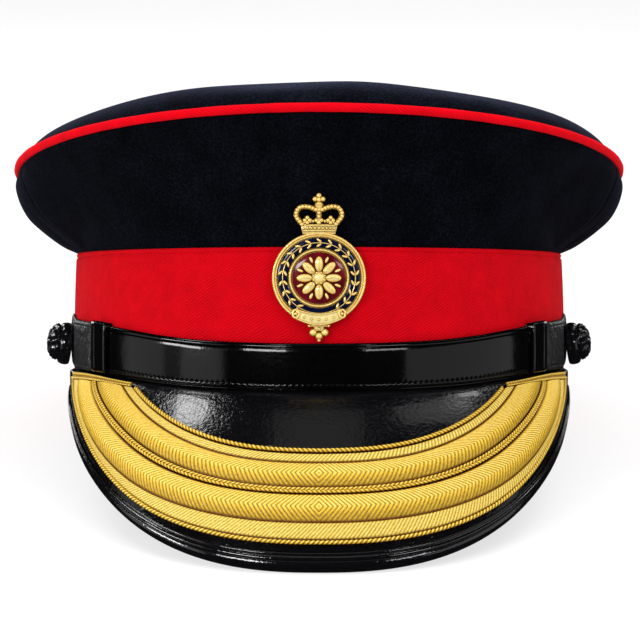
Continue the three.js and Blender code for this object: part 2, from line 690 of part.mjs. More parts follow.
// Balls of the badge. A flattened ball has that share of its depth.
const badgeBalls = [
  // Inside the small crown, on top of it, and the trefoil above
  { radius: 0.9, x: 0, y: 18.6, z: 1.4, flattened: 1 },
  { radius: 1.5, x: 0, y: 22.6, z: 1.4, flattened: 1 },
  { radius: 0.75, x: 0, y: 25.2, z: 1.4, flattened: 1 },
  { radius: 0.75, x: -1.05, y: 24.3, z: 1.4, flattened: 1 },
  { radius: 0.75, x: 1.05, y: 24.3, z: 1.4, flattened: 1 },
  // Turned-back ends of the scroll
  { radius: 1.6, x: -6.9, y: -11, z: 2.6, flattened: 0.45 },
  { radius: 1.6, x: 6.9, y: -11, z: 2.6, flattened: 0.45 },
  // Lobes of the pendant
  { radius: 1.45, x: -1.75, y: -17.1, z: 1.2, flattened: 1 },
  { radius: 1.45, x: 1.75, y: -17.1, z: 1.2, flattened: 1 },
  { radius: 1.35, x: 0, y: -18.6, z: 1.2, flattened: 1 },
];

// Middle line of an arch of the small crown, from the circlet up to the ball.
const archPath = [
  { x: 5.0, up: 3.0, z: 1.3 }, { x: 7.0, up: 6.0, z: 1.3 }, { x: 5.8, up: 8.4, z: 1.4 },
  { x: 3.0, up: 8.6, z: 1.5 }, { x: 0, up: 7.2, z: 1.6 },
];
const ARCH_RADIUS = 0.75;
const ARCH_STEPS = 8;
const ARCH_SIDES = 5;
function archGeometry(side) {
  const path = new THREE.CatmullRomCurve3(archPath.map(({ x, up, z }) => (
    new THREE.Vector3(side * x, CROWN_FOOT + up, z))));
  const tube = new THREE.TubeGeometry(path, ARCH_STEPS, ARCH_RADIUS, ARCH_SIDES, false);
  return cappedTube(tube, ARCH_STEPS, ARCH_SIDES);
}

// Plain ribbon scroll across the foot of the ring. Its two edges sag in the middle.
const SCROLL_HALF = 6.9;
const SCROLL_BEND = 1.4;           // radians of a cosine from the scroll's middle to its end
const scrollEdges = { upper: { y: -9, sag: 2 }, lower: { y: -12.6, sag: 2.4 } };
function scrollGeometry() {
  const across = evenly(-SCROLL_HALF, SCROLL_HALF, 9);
  const edge = ({ y, sag }) => across.map((x) => (
    [x, y - sag * Math.cos((x / SCROLL_HALF) * SCROLL_BEND)]));
  return plate([...edge(scrollEdges.upper), ...edge(scrollEdges.lower).reverse()], 2, 3);
}

const BACK_PLATE = 0.9;
function badgeFrameGeometry() {
  const pieces = [
    disc(RING_OUTER, 0, BACK_PLATE),
    hoop(RING_OUTER, RING_INNER, 0.5, 2.1),
    hoop(COLLAR_OUTER, COLLAR_INNER, 0.5, 2.0),
    archGeometry(-1),
    archGeometry(1),
    scrollGeometry(),
    ...badgePlates.map(({ outline, from, to }) => plate(outline, from, to)),
    ...badgeBalls.map(({ radius, x, y, z, flattened }) => ball(radius, x, y, z, flattened)),
  ];
  return bentOntoFront(joined(pieces, BADGE_FACET));
}

// Gives a tube's open ends flat lids, so that it is a closed solid.
function cappedTube(tube, steps, sides) {
  const place = tube.attributes.position;
  const rings = [];
  for (let j = 0; j <= steps; j++) {
    const ring = [];
    for (let i = 0; i < sides; i++) {
      ring.push(new THREE.Vector3().fromBufferAttribute(place, j * (sides + 1) + i));
    }
    rings.push(ring);
  }
  return solidFromRings(rings, false);
}

// The enamel lies this far over the back plate.
const ENAMEL_FOOT = BACK_PLATE + GAP;
function badgeRingGeometry() {
  const ring = hoop(RING_INNER - GAP, COLLAR_OUTER + GAP, ENAMEL_FOOT, 1.7);
  return bentOntoFront(joined([ring], BADGE_FACET));
}

function badgeCentreGeometry() {
  return bentOntoFront(joined([disc(COLLAR_INNER - GAP, ENAMEL_FOOT, 1.6)], BADGE_FACET));
}

// An eight-petalled rosette round a boss.
const PETALS = 8;
const petalSize = { long: 2.3, wide: 1.2, deep: 0.6, out: 3.6, height: 2.5 };
const boss = { radius: 2.0, from: 1.9, to: 2.9, sides: 16 };
function badgeRosetteGeometry() {
  const pieces = [disc(boss.radius, boss.from, boss.to, boss.sides)];
  for (let i = 0; i < PETALS; i++) {
    const petal = new THREE.SphereGeometry(1, 6, 3);
    petal.scale(petalSize.long, petalSize.wide, petalSize.deep);
    petal.translate(petalSize.out, 0, petalSize.height);
    petal.rotateZ((i / PETALS) * 2 * Math.PI);
    pieces.push(petal);
  }
  return bentOntoFront(joined(pieces));
}

const materials = {
  navyCloth: { color: 0x0b0d18, roughness: 0.95, metalness: 0 },
  scarletCloth: { color: 0xd4051c, roughness: 0.9, metalness: 0 },
  patentLeather: { color: 0x0a0a0c, roughness: 0.15, metalness: 0 },
  goldLace: { color: 0xe6b93c, roughness: 0.45, metalness: 0.6 },
  gilt: { color: 0xd9a640, roughness: 0.3, metalness: 0.9 },
  blueEnamel: { color: 0x141a5c, roughness: 0.2, metalness: 0 },
  redEnamel: { color: 0x6a0517, roughness: 0.2, metalness: 0 },
  blackButton: { color: 0x0c0c0e, roughness: 0.25, metalness: 0 },
};

const level = new THREE.Group();
function addPiece(name, geometry, look) {
  const mesh = new THREE.Mesh(geometry, new THREE.MeshStandardMaterial(materials[look]));
  mesh.name = name;
  level.add(mesh);
  return mesh;
}

addPiece('crown_top', crownTopGeometry(), 'navyCloth');
for (const panel of crownPanels) addPiece(panel.name, crownPanelGeometry(panel), 'navyCloth');
addPiece('piping', roundRing((angle) => rimPoint(angle, 0, 0), PIPING_RADIUS, 8), 'scarletCloth');
const band = addPiece('band', bandGeometry(), 'scarletCloth');
addPiece('peak', peakGeometry(), 'patentLeather');
const binding = addPiece('peak_binding', bindingGeometry(), 'patentLeather');
for (const piece of lacePieces) addPiece(piece.name, laceGeometry(piece), 'goldLace');
addPiece('lace_end_left', laceEndGeometry(-1), 'goldLace');
addPiece('lace_end_right', laceEndGeometry(1), 'goldLace');
addPiece('strap', strapGeometry(), 'patentLeather');
addPiece('keeper_left', keeperGeometry(-1), 'patentLeather');
addPiece('keeper_right', keeperGeometry(1), 'patentLeather');
addPiece('button_left', buttonGeometry(-1), 'blackButton');
addPiece('button_right', buttonGeometry(1), 'blackButton');
addPiece('badge_frame', badgeFrameGeometry(), 'gilt');
addPiece('badge_ring', badgeRingGeometry(), 'blueEnamel');
addPiece('badge_centre', badgeCentreGeometry(), 'redEnamel');
addPiece('badge_rosette', badgeRosetteGeometry(), 'gilt');

// Angle by which the cap tips back to rest on the binding's tip and the back of the band.
function restAngle() {
  const foot = new THREE.Vector3(0, -Infinity, 0);
  const p = new THREE.Vector3();
  const bandPlaces = band.geometry.attributes.position;
  for (let i = 0; i < bandPlaces.count; i++) {
    p.fromBufferAttribute(bandPlaces, i);
    if (Math.abs(p.z) < 1e-6 && p.y > foot.y) foot.copy(p);
  }
  let steepest = 0;
  const edgePlaces = binding.geometry.attributes.position;
  for (let i = 0; i < edgePlaces.count; i++) {
    p.fromBufferAttribute(edgePlaces, i);
    steepest = Math.max(steepest, Math.atan2(foot.z - p.z, foot.y - p.y));
  }
  return steepest;
}
level.name = 'level_cap';
level.rotation.x = -restAngle();

const cap = new THREE.Group();
cap.name = 'forage_cap';
cap.add(level);
cap.updateMatrixWorld(true);
const box = new THREE.Box3().setFromObject(cap, true);
level.position.set(-(box.min.x + box.max.x) / 2, -(box.min.y + box.max.y) / 2, -box.min.z);

export default cap;
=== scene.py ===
"""Forage cap: felt crown, scarlet twill band and piping, patent peak with gold lace, chin strap,
buttons and a gilt badge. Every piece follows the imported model, in metres. The cap is laid out
level in millimetres, with the middle of the band's foot at zero, and then set down as it rests."""
import json
import math

import bpy
import numpy as np
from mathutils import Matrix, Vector


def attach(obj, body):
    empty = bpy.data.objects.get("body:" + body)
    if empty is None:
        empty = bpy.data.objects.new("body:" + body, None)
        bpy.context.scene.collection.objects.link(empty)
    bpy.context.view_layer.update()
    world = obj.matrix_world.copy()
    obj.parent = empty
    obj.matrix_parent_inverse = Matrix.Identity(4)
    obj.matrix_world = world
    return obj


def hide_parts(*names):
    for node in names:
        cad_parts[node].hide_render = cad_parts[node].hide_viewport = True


bl_info = {
    "name": "Forage Cap",
    "version": (1, 0, 0),
    "blender": (4, 5, 0),
    "location": "View3D > Sidebar > Forage Cap",
    "description": "Builds a laced forage cap over its packed model",
    "category": "Add Mesh",
}

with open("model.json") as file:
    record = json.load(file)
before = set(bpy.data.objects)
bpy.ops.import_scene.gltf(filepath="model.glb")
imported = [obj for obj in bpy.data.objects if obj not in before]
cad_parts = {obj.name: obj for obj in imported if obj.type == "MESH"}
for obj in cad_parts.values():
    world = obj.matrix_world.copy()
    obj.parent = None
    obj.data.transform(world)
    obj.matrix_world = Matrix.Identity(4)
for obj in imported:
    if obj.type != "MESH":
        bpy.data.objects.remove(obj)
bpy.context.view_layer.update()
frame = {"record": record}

# Where the level cap stands once it rests on its peak
head = next(m for m in frame["record"]["mounts"] if m["name"] == "head_opening")
SEAT = np.array(head["pos_m"])
UP = -np.array(head["axis"])
BACK = np.array([0.0, UP[2], -UP[1]])

# Band and head opening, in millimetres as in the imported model
BAND_HALF_WIDTH = 85.0
BAND_HALF_LENGTH = 104.0
BAND_HEIGHT = 45.0
BAND_WALL = 3.0
BAND_SWELL = 0.3
BAND_TAPER = 0.7
BAND_FOLD = 43.5
GAP = 0.3

# Crown
CROWN_WALL = 1.8
FOOT_GAP = 0.02
NECK_INSET = 1.0
RIM_HALF_WIDTH = 104.85
RIM_FRONT, RIM_BACK = -118.0, 128.0
RIM_FRONT_HEIGHT, RIM_BACK_HEIGHT = 87.75, 56.5
PIPING_RADIUS = 1.45
DOME_HEIGHT = 21.7
DOME_OUT, DOME_UP = 1.6, 2.7
SEAM_DEPTH = 1.75
SEAM_INSET = 1.8
SEAM_ALLOWANCE = (1.4, 3.6)
CROWN_PANELS = ("crown_front", "crown_right", "crown_back", "crown_left")
PANEL_SEAMS = np.radians([-135, -75, 75, 135])

# Peak
PEAK_END = math.radians(75.5)
PEAK_STANDOFF = 2.5
PEAK_THICKNESS = 2.0
PEAK_BULGE = 5.0
PEAK_HALF_WIDTH = 83.7
PEAK_CENTRE_Y = -8.0
PEAK_REACH = 130.0
PEAK_SQUARENESS = 2.454
PEAK_CORNER = math.radians(84.4)
PEAK_CORNER_HEIGHT = 6.2
PEAK_TIP_HEIGHT = -53.6
PEAK_EDGE_LIFT = 1.95
FULL_RIB = 66.0
NARROWING_RIB = 18.0
CORNER_THINNESS = 0.25
BINDING_SLOT = 1.5
PEAK_EDGE_GAP = 0.5

# Chin strap, keepers and buttons
STRAP_THICKNESS = 1.8
STRAP_GAP = 0.42
STRAP_END = math.radians(83.6)
STRAP_TAB = 0.6
TAB_RISE = 1.2
STRAP_DOUBLED = 0.6
TAB_PRESSED = 1.2
PRESSED_FROM, PRESSED_RUN = math.radians(70), math.radians(4)
# Distances from the strap's end: its whole tab, the fade behind that, and its rounded corners
TAB_LENGTH, TAB_FADE, TAB_ROUNDING = 6, 10, 9.3
TAB_BLUNTNESS = 0.12
# Degrees from the front between which the end is folded back, and those that its steps take
DOUBLED_SPAN = (59.3, 72)
DOUBLED_STEPS = (1.5, 3)
# The strap's lacquer is worn dull beyond this, in metres to either side
DULL_FROM = 0.0735
KEEPER_ANGLE = math.radians(55.5)
KEEPER_LENGTH = 11.8
BUTTON_ANGLE = math.radians(78)
BUTTON_HEIGHT = 14.3
BUTTON_TILT = math.radians(6)
SIDES = (("left", -1), ("right", 1))

# Badge
BADGE_CENTRE_HEIGHT = 35.2
BADGE_CURVE = BAND_HALF_WIDTH ** 2 / BAND_HALF_LENGTH
BADGE_LEAN = 0.055
BADGE_STANDOFF = 0.9
RING_OUTER = 14.4
CROWN_FOOT = 13.6

# Heights over the band's foot by degrees from the front: strap's middle, half width, peak's root
BAND_TRIM = {
    "angle": (0, 12, 25, 35, 45, 55, 65, 77, 92),
    "middle": (7.5, 7.7, 8.4, 9.5, 11.1, 12.6, 13.6, 14.4, 15.2),
    "half": (7.2, 7.2, 7.3, 7.5, 7.7, 7.9, 8.1, 8.2, 8.2),
    "root": (-0.8, -0.6, 0.2, 1.2, 2.8, 4.0, 4.6, 5.1, 5.3),
}
# How far the crown's wall has spread at each share of its rise
WALL_SHAPE = {
    "rise": (0, 0.08, 0.2, 0.33, 0.46, 0.6, 0.74, 0.88, 1),
    "side": (0.03, 0.25, 0.47, 0.67, 0.84, 0.95, 1.02, 1.05, 1.0),
    "front": (0, 0.03, 0.09, 0.18, 0.3, 0.46, 0.65, 0.86, 0.985),
}
# Lines that the lace follows over the peak
LACE_LINES = {
    "start": (0.36, 0.446, 0.6, 0.766, 0.87),
    "end": (43, 47, 56, 63.5, 68),
    "flatness": (2.8, 2.8, 3.0, 5.5, 5.0),
    "fullness": (1.0, 0.85, 0.6, 0.58, 0.75),
}
LACE_END_CLEARANCE = 3.4
# Halvings in the search for the place where a lace line stops
LACE_END_SEARCH = 40
# Points of a mesh that lie closer than this are one, in metres
MERGE_DISTANCE = 2e-6


# Level surfaces

def set_down(points):
    """Level millimetres to metres where the cap rests."""
    p = np.asarray(points) * 0.001
    return SEAT + p[..., 0:1] * np.array([1.0, 0, 0]) + p[..., 1:2] * BACK + p[..., 2:3] * UP


def mix(a, b, share):
    return a + (b - a) * share


def unit(vectors):
    return vectors / np.linalg.norm(vectors, axis=-1, keepdims=True)


def smooth_step(x):
    t = np.clip(x, 0, 1)
    return t * t * (3 - 2 * t)


def bump(x, middle, width):
    """A smooth hill of height 1, which is gone at about twice its width from the middle."""
    return np.exp(-((x - middle) / width) ** 2)


def smooth_through(keys, values, place):
    """Height at each place of the smooth curve through the values at the keys."""
    at = np.clip(place, keys[0], keys[-1])
    i = np.clip(np.searchsorted(keys, at, side="left") - 1, 0, len(keys) - 2)
    before = np.maximum(np.arange(len(keys)) - 1, 0)
    after = np.minimum(np.arange(len(keys)) + 1, len(keys) - 1)
    slopes = (values[after] - values[before]) / (keys[after] - keys[before])
    span = keys[i + 1] - keys[i]
    t = (at - keys[i]) / span
    t2, t3 = t * t, t * t * t
    return (values[i] * (2 * t3 - 3 * t2 + 1) + slopes[i] * span * (t3 - 2 * t2 + t)
            + values[i + 1] * (3 * t2 - 2 * t3) + slopes[i + 1] * span * (t3 - t2))


def read_table(table, key, place, column):
    """Reads a column smoothly at places given along the key column."""
    return smooth_through(np.array(table[key], float), np.array(table[column], float), place)


def band_face(angle, height, off=0.0):
    share = height / BAND_HEIGHT
    swell = BAND_SWELL * 4 * share * (1 - share) - BAND_TAPER * share * share
    angle, height = np.broadcast_arrays(angle + 0 * share, height + 0 * angle)
    return np.stack([
        (BAND_HALF_WIDTH + swell + off) * np.sin(angle),
        -(BAND_HALF_LENGTH + swell + off) * np.cos(angle),
        height,
    ], -1)


RIM_CENTRE_Y = (RIM_FRONT + RIM_BACK) / 2
RIM_HALF_LENGTH = (RIM_BACK - RIM_FRONT) / 2
RIM_CENTRE_HEIGHT = (RIM_FRONT_HEIGHT + RIM_BACK_HEIGHT) / 2
RIM_SLOPE = (RIM_BACK_HEIGHT - RIM_FRONT_HEIGHT) / (RIM_BACK - RIM_FRONT)


def rim_point(angle, inset, lift):
    y = RIM_CENTRE_Y - (RIM_HALF_LENGTH - inset) * np.cos(angle)
    return np.stack([
        (RIM_HALF_WIDTH - inset) * np.sin(angle), y,
        RIM_CENTRE_HEIGHT + RIM_SLOPE * (y - RIM_CENTRE_Y) + lift,
    ], -1)


def trim_height(angle, column):
    return read_table(BAND_TRIM, "angle", np.degrees(np.abs(angle)), column)


def peak_root(angle):
    root = band_face(angle, 0.0 * angle, PEAK_STANDOFF)
    root[..., 2] = trim_height(angle, "root")
    return root


def peak_edge(angle):
    turn = angle * PEAK_CORNER / PEAK_END
    power = 2 / PEAK_SQUARENESS
    reach = np.abs(np.cos(turn)) ** power
    return np.stack([
        np.sign(turn) * PEAK_HALF_WIDTH * np.abs(np.sin(turn)) ** power,
        PEAK_CENTRE_Y - PEAK_REACH * reach,
        mix(PEAK_CORNER_HEIGHT, PEAK_TIP_HEIGHT, reach) + PEAK_EDGE_LIFT * 4 * reach * (1 - reach),
    ], -1)


def rib_length(angle):
    return np.linalg.norm(peak_edge(angle) - peak_root(angle), axis=-1)


def peak_point(angle, along, lift):
    """A point of the peak: down the rib at that angle, and over or under its upper face."""
    angle, along, lift = np.broadcast_arrays(angle, along, lift)
    root = peak_root(angle)
    rib = peak_edge(angle) - root
    nudge = 1e-3
    sideways = (peak_root(angle + nudge) - peak_root(angle - nudge)
                + peak_edge(angle + nudge) - peak_edge(angle - nudge))
    upright = unit(np.cross(rib, sideways))
    bulge = PEAK_BULGE * (np.linalg.norm(rib, axis=-1) / FULL_RIB) * 4 * along * (1 - along)
    return root + rib * along[..., None] + upright * (bulge + lift)[..., None]


def corner_share(angle):
    return np.minimum(1, rib_length(angle) / NARROWING_RIB)


def thinned(angle, lift):
    return np.where(lift < 0, lift * mix(CORNER_THINNESS, 1, corner_share(angle)), lift)


def lace_line(start):
    """How far down the peak a lace line lies at each angle, and the angle where it stops."""
    end = math.radians(float(read_table(LACE_LINES, "start", start, "end")))
    flatness = float(read_table(LACE_LINES, "start", start, "flatness"))
    fullness = float(read_table(LACE_LINES, "start", start, "fullness"))

    def along(angle):
        return start * np.maximum(0, 1 - (np.abs(angle) / end) ** flatness) ** fullness

    low, high = 0.0, end
    for _ in range(LACE_END_SEARCH):
        middle = np.array((low + high) / 2)
        if float(along(middle) * rib_length(middle)) > LACE_END_CLEARANCE:
            low = float(middle)
        else:
            high = float(middle)
    return along, low


def strap_to_end(angle):
    return (STRAP_END - np.abs(angle)) * BAND_HALF_LENGTH


def tab_share(angle):
    return smooth_step(1 - (strap_to_end(angle) - TAB_LENGTH) / TAB_FADE)


def strap_half_width(angle):
    cut = np.maximum(0, 1 - strap_to_end(angle) / TAB_ROUNDING)
    whole = trim_height(angle, "half") + STRAP_TAB * tab_share(angle)
    return whole * np.sqrt(np.maximum(TAB_BLUNTNESS, 1 - cut ** 2))


def strap_middle(angle):
    return trim_height(angle, "middle") + TAB_RISE * tab_share(angle)


def strap_extra(angle):
    """Extra thickness where the strap's end is folded back."""
    place = np.degrees(np.abs(angle))
    start, stop = DOUBLED_SPAN
    up, down = DOUBLED_STEPS
    return STRAP_DOUBLED * smooth_step((place - start) / up) * smooth_step((stop - place) / down)


# Making meshes

def path_lengths(points):
    """How far along a line of places each of them lies."""
    return np.concatenate([[0], np.cumsum(np.linalg.norm(np.diff(points, axis=0), axis=-1))])


def around(count):
    """Angles all the way round from the back, the first one repeated at the end."""
    return np.linspace(-math.pi, math.pi, count + 1)


def full_turn(count):
    return np.linspace(0, 2 * math.pi, count + 1)


def weave_lengths(points):
    """Length along and across of each point of a grid, in millimetres. Along is zero at the
    middle row, so that a pattern can mirror there."""
    steps = np.linalg.norm(np.diff(points, axis=0), axis=-1).mean(axis=1)
    along = np.concatenate([[0], np.cumsum(steps)])
    along -= along[len(along) // 2]
    widths = np.linalg.norm(np.diff(points, axis=1), axis=-1)
    across = np.concatenate([np.zeros((len(points), 1)), np.cumsum(widths, axis=1)], axis=1)
    return np.stack([np.broadcast_to(along[:, None], across.shape), across], -1)


def tube(centre, across, up, thick, turn):
    """Rings of points round each place of a line."""
    return (centre[:, None, :] + across[:, None, :] * (thick * np.cos(turn))[..., None]
            + up[:, None, :] * (thick * np.sin(turn))[..., None])


def clear_selection():
    if bpy.context.object and bpy.context.object.mode != "OBJECT":
        bpy.ops.object.mode_set(mode="OBJECT")
    bpy.ops.object.select_all(action="DESELECT")


def pick(piece):
    clear_selection()
    piece.select_set(True)
    bpy.context.view_layer.objects.active = piece


def rename(piece, name):
    piece.name = piece.data.name = name
    return piece


def smooth_to(degrees):
    """Smooths the picked piece, and keeps edges that are sharper than that."""
    bpy.ops.object.shade_smooth_by_angle(angle=math.radians(degrees))


def face_outwards():
    bpy.ops.mesh.select_all(action="SELECT")
    bpy.ops.mesh.normals_make_consistent(inside=False)


def tidy_mesh(piece, close_ends):
    """Merges doubled points, closes open ends if asked and turns every face outwards."""
    pick(piece)
    bpy.ops.object.mode_set(mode="EDIT")
    bpy.ops.mesh.select_mode(type="VERT")
    bpy.ops.mesh.select_all(action="SELECT")
    bpy.ops.mesh.remove_doubles(threshold=MERGE_DISTANCE)
    if close_ends:
        bpy.ops.mesh.select_all(action="DESELECT")
        bpy.ops.mesh.select_non_manifold()
        bpy.ops.mesh.fill_holes(sides=0)
    face_outwards()
    bpy.ops.mesh.select_all(action="DESELECT")
    bpy.ops.object.mode_set(mode="OBJECT")


def apply_modifier(piece, kind, **settings):
    pick(piece)
    modifier = piece.modifiers.new(kind.lower(), kind)
    for key, value in settings.items():
        setattr(modifier, key, value)
    bpy.ops.object.modifier_apply(modifier=modifier.name)


def places_of(mesh, key="co"):
    values = np.empty(len(mesh.vertices) * 3, np.float32)
    mesh.vertices.foreach_get(key, values)
    return values.reshape(-1, 3)


def keep_relief(mesh, values):
    """Keeps how high or open each point is, which the finish turns into painted highlight and
    shade.
    """
    if "relief" not in mesh.attributes:
        mesh.attributes.new("relief", "FLOAT", "POINT")
    mesh.attributes["relief"].data.foreach_set("value", values.astype(np.float32))


def lay_grid(name, points, weave=None, relief=None, close_ends=False, ready=set_down):
    """Adds a grid primitive and lays it over rows of points. weave holds each point's length
    along and across the cloth, in millimetres."""
    weave = weave_lengths(points) if weave is None else weave
    rows, columns = points.shape[:2]
    clear_selection()
    bpy.ops.mesh.primitive_grid_add(x_subdivisions=rows - 1, y_subdivisions=columns - 1, size=2)
    piece = rename(bpy.context.object, name)
    mesh = piece.data
    flat = places_of(mesh)
    i = np.rint((flat[:, 0] + 1) / 2 * (rows - 1)).astype(int)
    j = np.rint((flat[:, 1] + 1) / 2 * (columns - 1)).astype(int)
    mesh.vertices.foreach_set("co", ready(points[i, j]).astype(np.float32).ravel())
    corners = np.empty(len(mesh.loops), np.int32)
    mesh.loops.foreach_get("vertex_index", corners)
    layer = mesh.uv_layers.active or mesh.uv_layers.new(name="weave")
    layer.name = "weave"
    layer.uv.foreach_set("vector", weave[i, j][corners].astype(np.float32).ravel())
    if relief is not None:
        keep_relief(mesh, relief[i, j])
    mesh.update()
    tidy_mesh(piece, close_ends)
    bpy.ops.object.shade_smooth()
    return piece


def finish_piece(piece, node, material):
    """Gives a piece its finish, and puts it in the place of its node."""
    piece.data.materials.clear()
    piece.data.materials.append(material)
    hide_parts(*([node] if isinstance(node, str) else node))
    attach(piece, "root")


def cover(name, points, node, slot, material, sharp=None, wall=None, **grid):
    """Lays a piece over rows of points in the place of its node. sharp is the angle past which
    its edges stay sharp, and wall its thickness in millimetres if it is a single sheet."""
    piece = lay_grid(name, points, **grid)
    if wall:
        apply_modifier(piece, "SOLIDIFY", thickness=wall / 1000, offset=-1)
    if sharp:
        smooth_to(sharp)
    finish_piece(piece, node, material)
    return piece


# Finishes

class Finish:
    """A node material under construction."""

    def __init__(self, name):
        self.material = bpy.data.materials.new(name)
        self.material.use_nodes = True
        self.tree = self.material.node_tree
        self.shader = self.tree.nodes["Principled BSDF"]

    def node(self, kind, **inputs):
        node = self.tree.nodes.new(kind)
        settings = {key for key in inputs if key in node.bl_rna.properties}
        for key in settings:
            setattr(node, key, inputs[key])
        for key in inputs:
            if key not in settings:
                self.put(node, key.replace("_", " "), inputs[key])
        return node

    def put(self, node, key, value):
        socket = next(s for s in node.inputs if s.name == key and s.enabled)
        if isinstance(value, bpy.types.NodeSocket):
            self.tree.links.new(value, socket)
        else:
            socket.default_value = value

    def set(self, **values):
        for key, value in values.items():
            self.put(self.shader, key.replace("_", " "), value)

    def maths(self, operation, *values):
        node = self.node("ShaderNodeMath", operation=operation)
        for socket, value in zip(node.inputs, values):
            if isinstance(value, bpy.types.NodeSocket):
                self.tree.links.new(value, socket)
            else:
                socket.default_value = value
        return node.outputs[0]

    def times(self, a, b):
        return self.maths("MULTIPLY", a, b)

    def scaled(self, value, factor, start):
        return self.maths("ADD", self.times(value, factor), start)

    def blend(self, a, a_share, b, b_share):
        return self.maths("ADD", self.times(a, a_share), self.times(b, b_share))

    def colours(self, share, *stops):
        """Base colour that runs through the stops as share goes from 0 to 1."""
        node = self.node("ShaderNodeValToRGB")
        self.tree.links.new(share, node.inputs[0])
        elements = node.color_ramp.elements
        while len(elements) < len(stops):
            elements.new(1)
        for element, (place, colour) in zip(elements, stops):
            element.position = place
            element.color = paint(colour)
        self.set(Base_Color=node.outputs[0])

    def noise(self, scale, detail=2.0, roughness=0.5):
        return self.node("ShaderNodeTexNoise", Vector=self.place(), Scale=scale, Detail=detail,
                         Roughness=roughness).outputs["Fac"]

    def place(self):
        return self.node("ShaderNodeTexCoord").outputs["Object"]

    def side(self, key, vector):
        return self.node("ShaderNodeSeparateXYZ", Vector=vector).outputs[key]

    # Each point's share of painted highlight against painted shade, as kept on the mesh
    def relief(self):
        return self.node("ShaderNodeAttribute", attribute_name="relief").outputs["Fac"]

    def bump(self, height, distance, strength=1.0, under=None):
        node = self.node("ShaderNodeBump", Strength=strength, Distance=distance, Height=height)
        if under is not None:
            self.put(node, "Normal", under)
        return node.outputs["Normal"]

    def ribs(self, spacing, slant, waver=0.0):
        """Ribs slanted by that angle over the weave, as a share from 0 in a groove to 1."""
        weave = self.node("ShaderNodeUVMap", uv_map="weave").outputs["UV"]
        across = self.times(self.side("X", weave), math.sin(slant) / spacing)
        up = self.times(self.side("Y", weave), -math.cos(slant) / spacing)
        place = self.maths("ADD", self.maths("ADD", across, up), waver)
        wave = self.maths("SINE", self.times(place, 2 * math.pi))
        return self.times(self.maths("ADD", wave, 1.0), 0.5)


def paint(colour):
    return (*colour[:3], 1.0)


def shade(colour, factor):
    return tuple(min(1.0, c * factor) for c in colour[:3])


def felt_finish(name, colour, sheen=0.05):
    """Felted wool: a fine nap in soft patches."""
    felt = Finish(name)
    nap = felt.noise(1300, 3, 0.65)
    patches = felt.noise(70, 3, 0.55)
    felt.colours(felt.blend(nap, 0.7, patches, 0.3), (0.36, shade(colour, 0.3)),
                 (0.52, shade(colour, 0.9)), (0.68, shade(colour, 2.6)))
    felt.set(Normal=felt.bump(nap, 0.0004, 0.7, felt.bump(patches, 0.0006, 0.35)),
             Roughness=1.0, Specular_IOR_Level=0.03, Sheen_Weight=sheen, Sheen_Roughness=0.3,
             Sheen_Tint=(0.4, 0.45, 0.8, 1))
    return felt.material


def twill_finish(name, colour, spacing, slant):
    """Wool twill: slanting ribs that waver and fade, under a short nap."""
    twill = Finish(name)
    fibre = twill.noise(1800, 3, 0.65)
    patches = twill.noise(130, 3, 0.6)
    broken = twill.noise(420, 3, 0.6)
    ribs = twill.times(twill.ribs(spacing, slant, twill.times(patches, 1.6)),
                       twill.times(broken, 1.6))
    twill.colours(twill.blend(ribs, 0.4, patches, 0.6), (0.2, shade(colour, 0.72)),
                  (0.5, shade(colour, 0.98)), (0.8, shade(colour, 1.18)))
    twill.set(Normal=twill.bump(fibre, 0.0002, 0.4, twill.bump(ribs, 0.0002, 0.65)),
              Roughness=0.95, Specular_IOR_Level=0.05, Sheen_Weight=0.012, Sheen_Roughness=0.45,
              Sheen_Tint=(1.0, 0.1, 0.12, 1))
    return twill.material


def patent_finish(name, colour, roughness, peel=0.0, dull_from=None, shine=0.5):
    """Black patent leather. peel is how strongly the lacquer ripples. It is worn dull and
    grained beyond dull_from, in metres to either side."""
    patent = Finish(name)
    dust = patent.noise(900, 3, 0.6)
    tone = patent.times(dust, 0.5)
    rough = patent.scaled(dust, 0.07, roughness)
    ripple = patent.bump(patent.noise(900, 2, 0.55), 0.0005, 0.04 + peel,
                         patent.bump(patent.noise(60, 2, 0.5), 0.004, 0.05 + 0.2 * peel))
    if dull_from:
        sideways = patent.maths("ABSOLUTE", patent.side("X", patent.place()))
        beyond = patent.times(patent.maths("SUBTRACT", sideways, dull_from), 800)
        worn = patent.maths("MINIMUM", patent.maths("MAXIMUM", beyond, 0.0), 1.0)
        rough = patent.maths("ADD", rough, patent.times(worn, 0.25))
        tone = patent.maths("ADD", tone, patent.times(worn, 0.5))
        creased = patent.times(worn, patent.noise(420, 3, 0.6))
        ripple = patent.bump(creased, 0.0009, 0.9, ripple)
    patent.colours(tone, (0.15, shade(colour, 0.6)), (0.38, shade(colour, 1.6)),
                   (0.6, (0.004, 0.004, 0.005)), (0.9, (0.028, 0.028, 0.03)))
    patent.set(Roughness=rough, Normal=ripple, Specular_IOR_Level=shine,
               Coat_Weight=0.0 if dull_from else 0.35, Coat_Roughness=0.04)
    return patent.material


def lace_finish(name, colour, shaded):
    """Gold thread: painted highlight on the ridges and painted shade in the grooves, with painted
    glints and fine wraps of wire.
    """
    lace = Finish(name)
    glint = lace.noise(1500, 3, 0.65)
    # Painted light: crests take the bright gold and a pale highlight, and grooves the deep shade
    # colour; the noise adds painted glints
    lace.colours(lace.blend(lace.relief(), 0.62, glint, 0.38), (0.18, shaded),
                 (0.44, shade(colour, 0.48)), (0.66, shade(colour, 0.95)),
                 (0.86, (1.0, 0.82, 0.28)))
    wraps = lace.ribs(WIRE_SPACING, math.radians(8))
    lace.set(Normal=lace.bump(wraps, 0.00005, 0.3, lace.bump(glint, 0.00016, 0.4)),
             Metallic=0.12, Roughness=0.42, Specular_IOR_Level=0.4)
    return lace.material


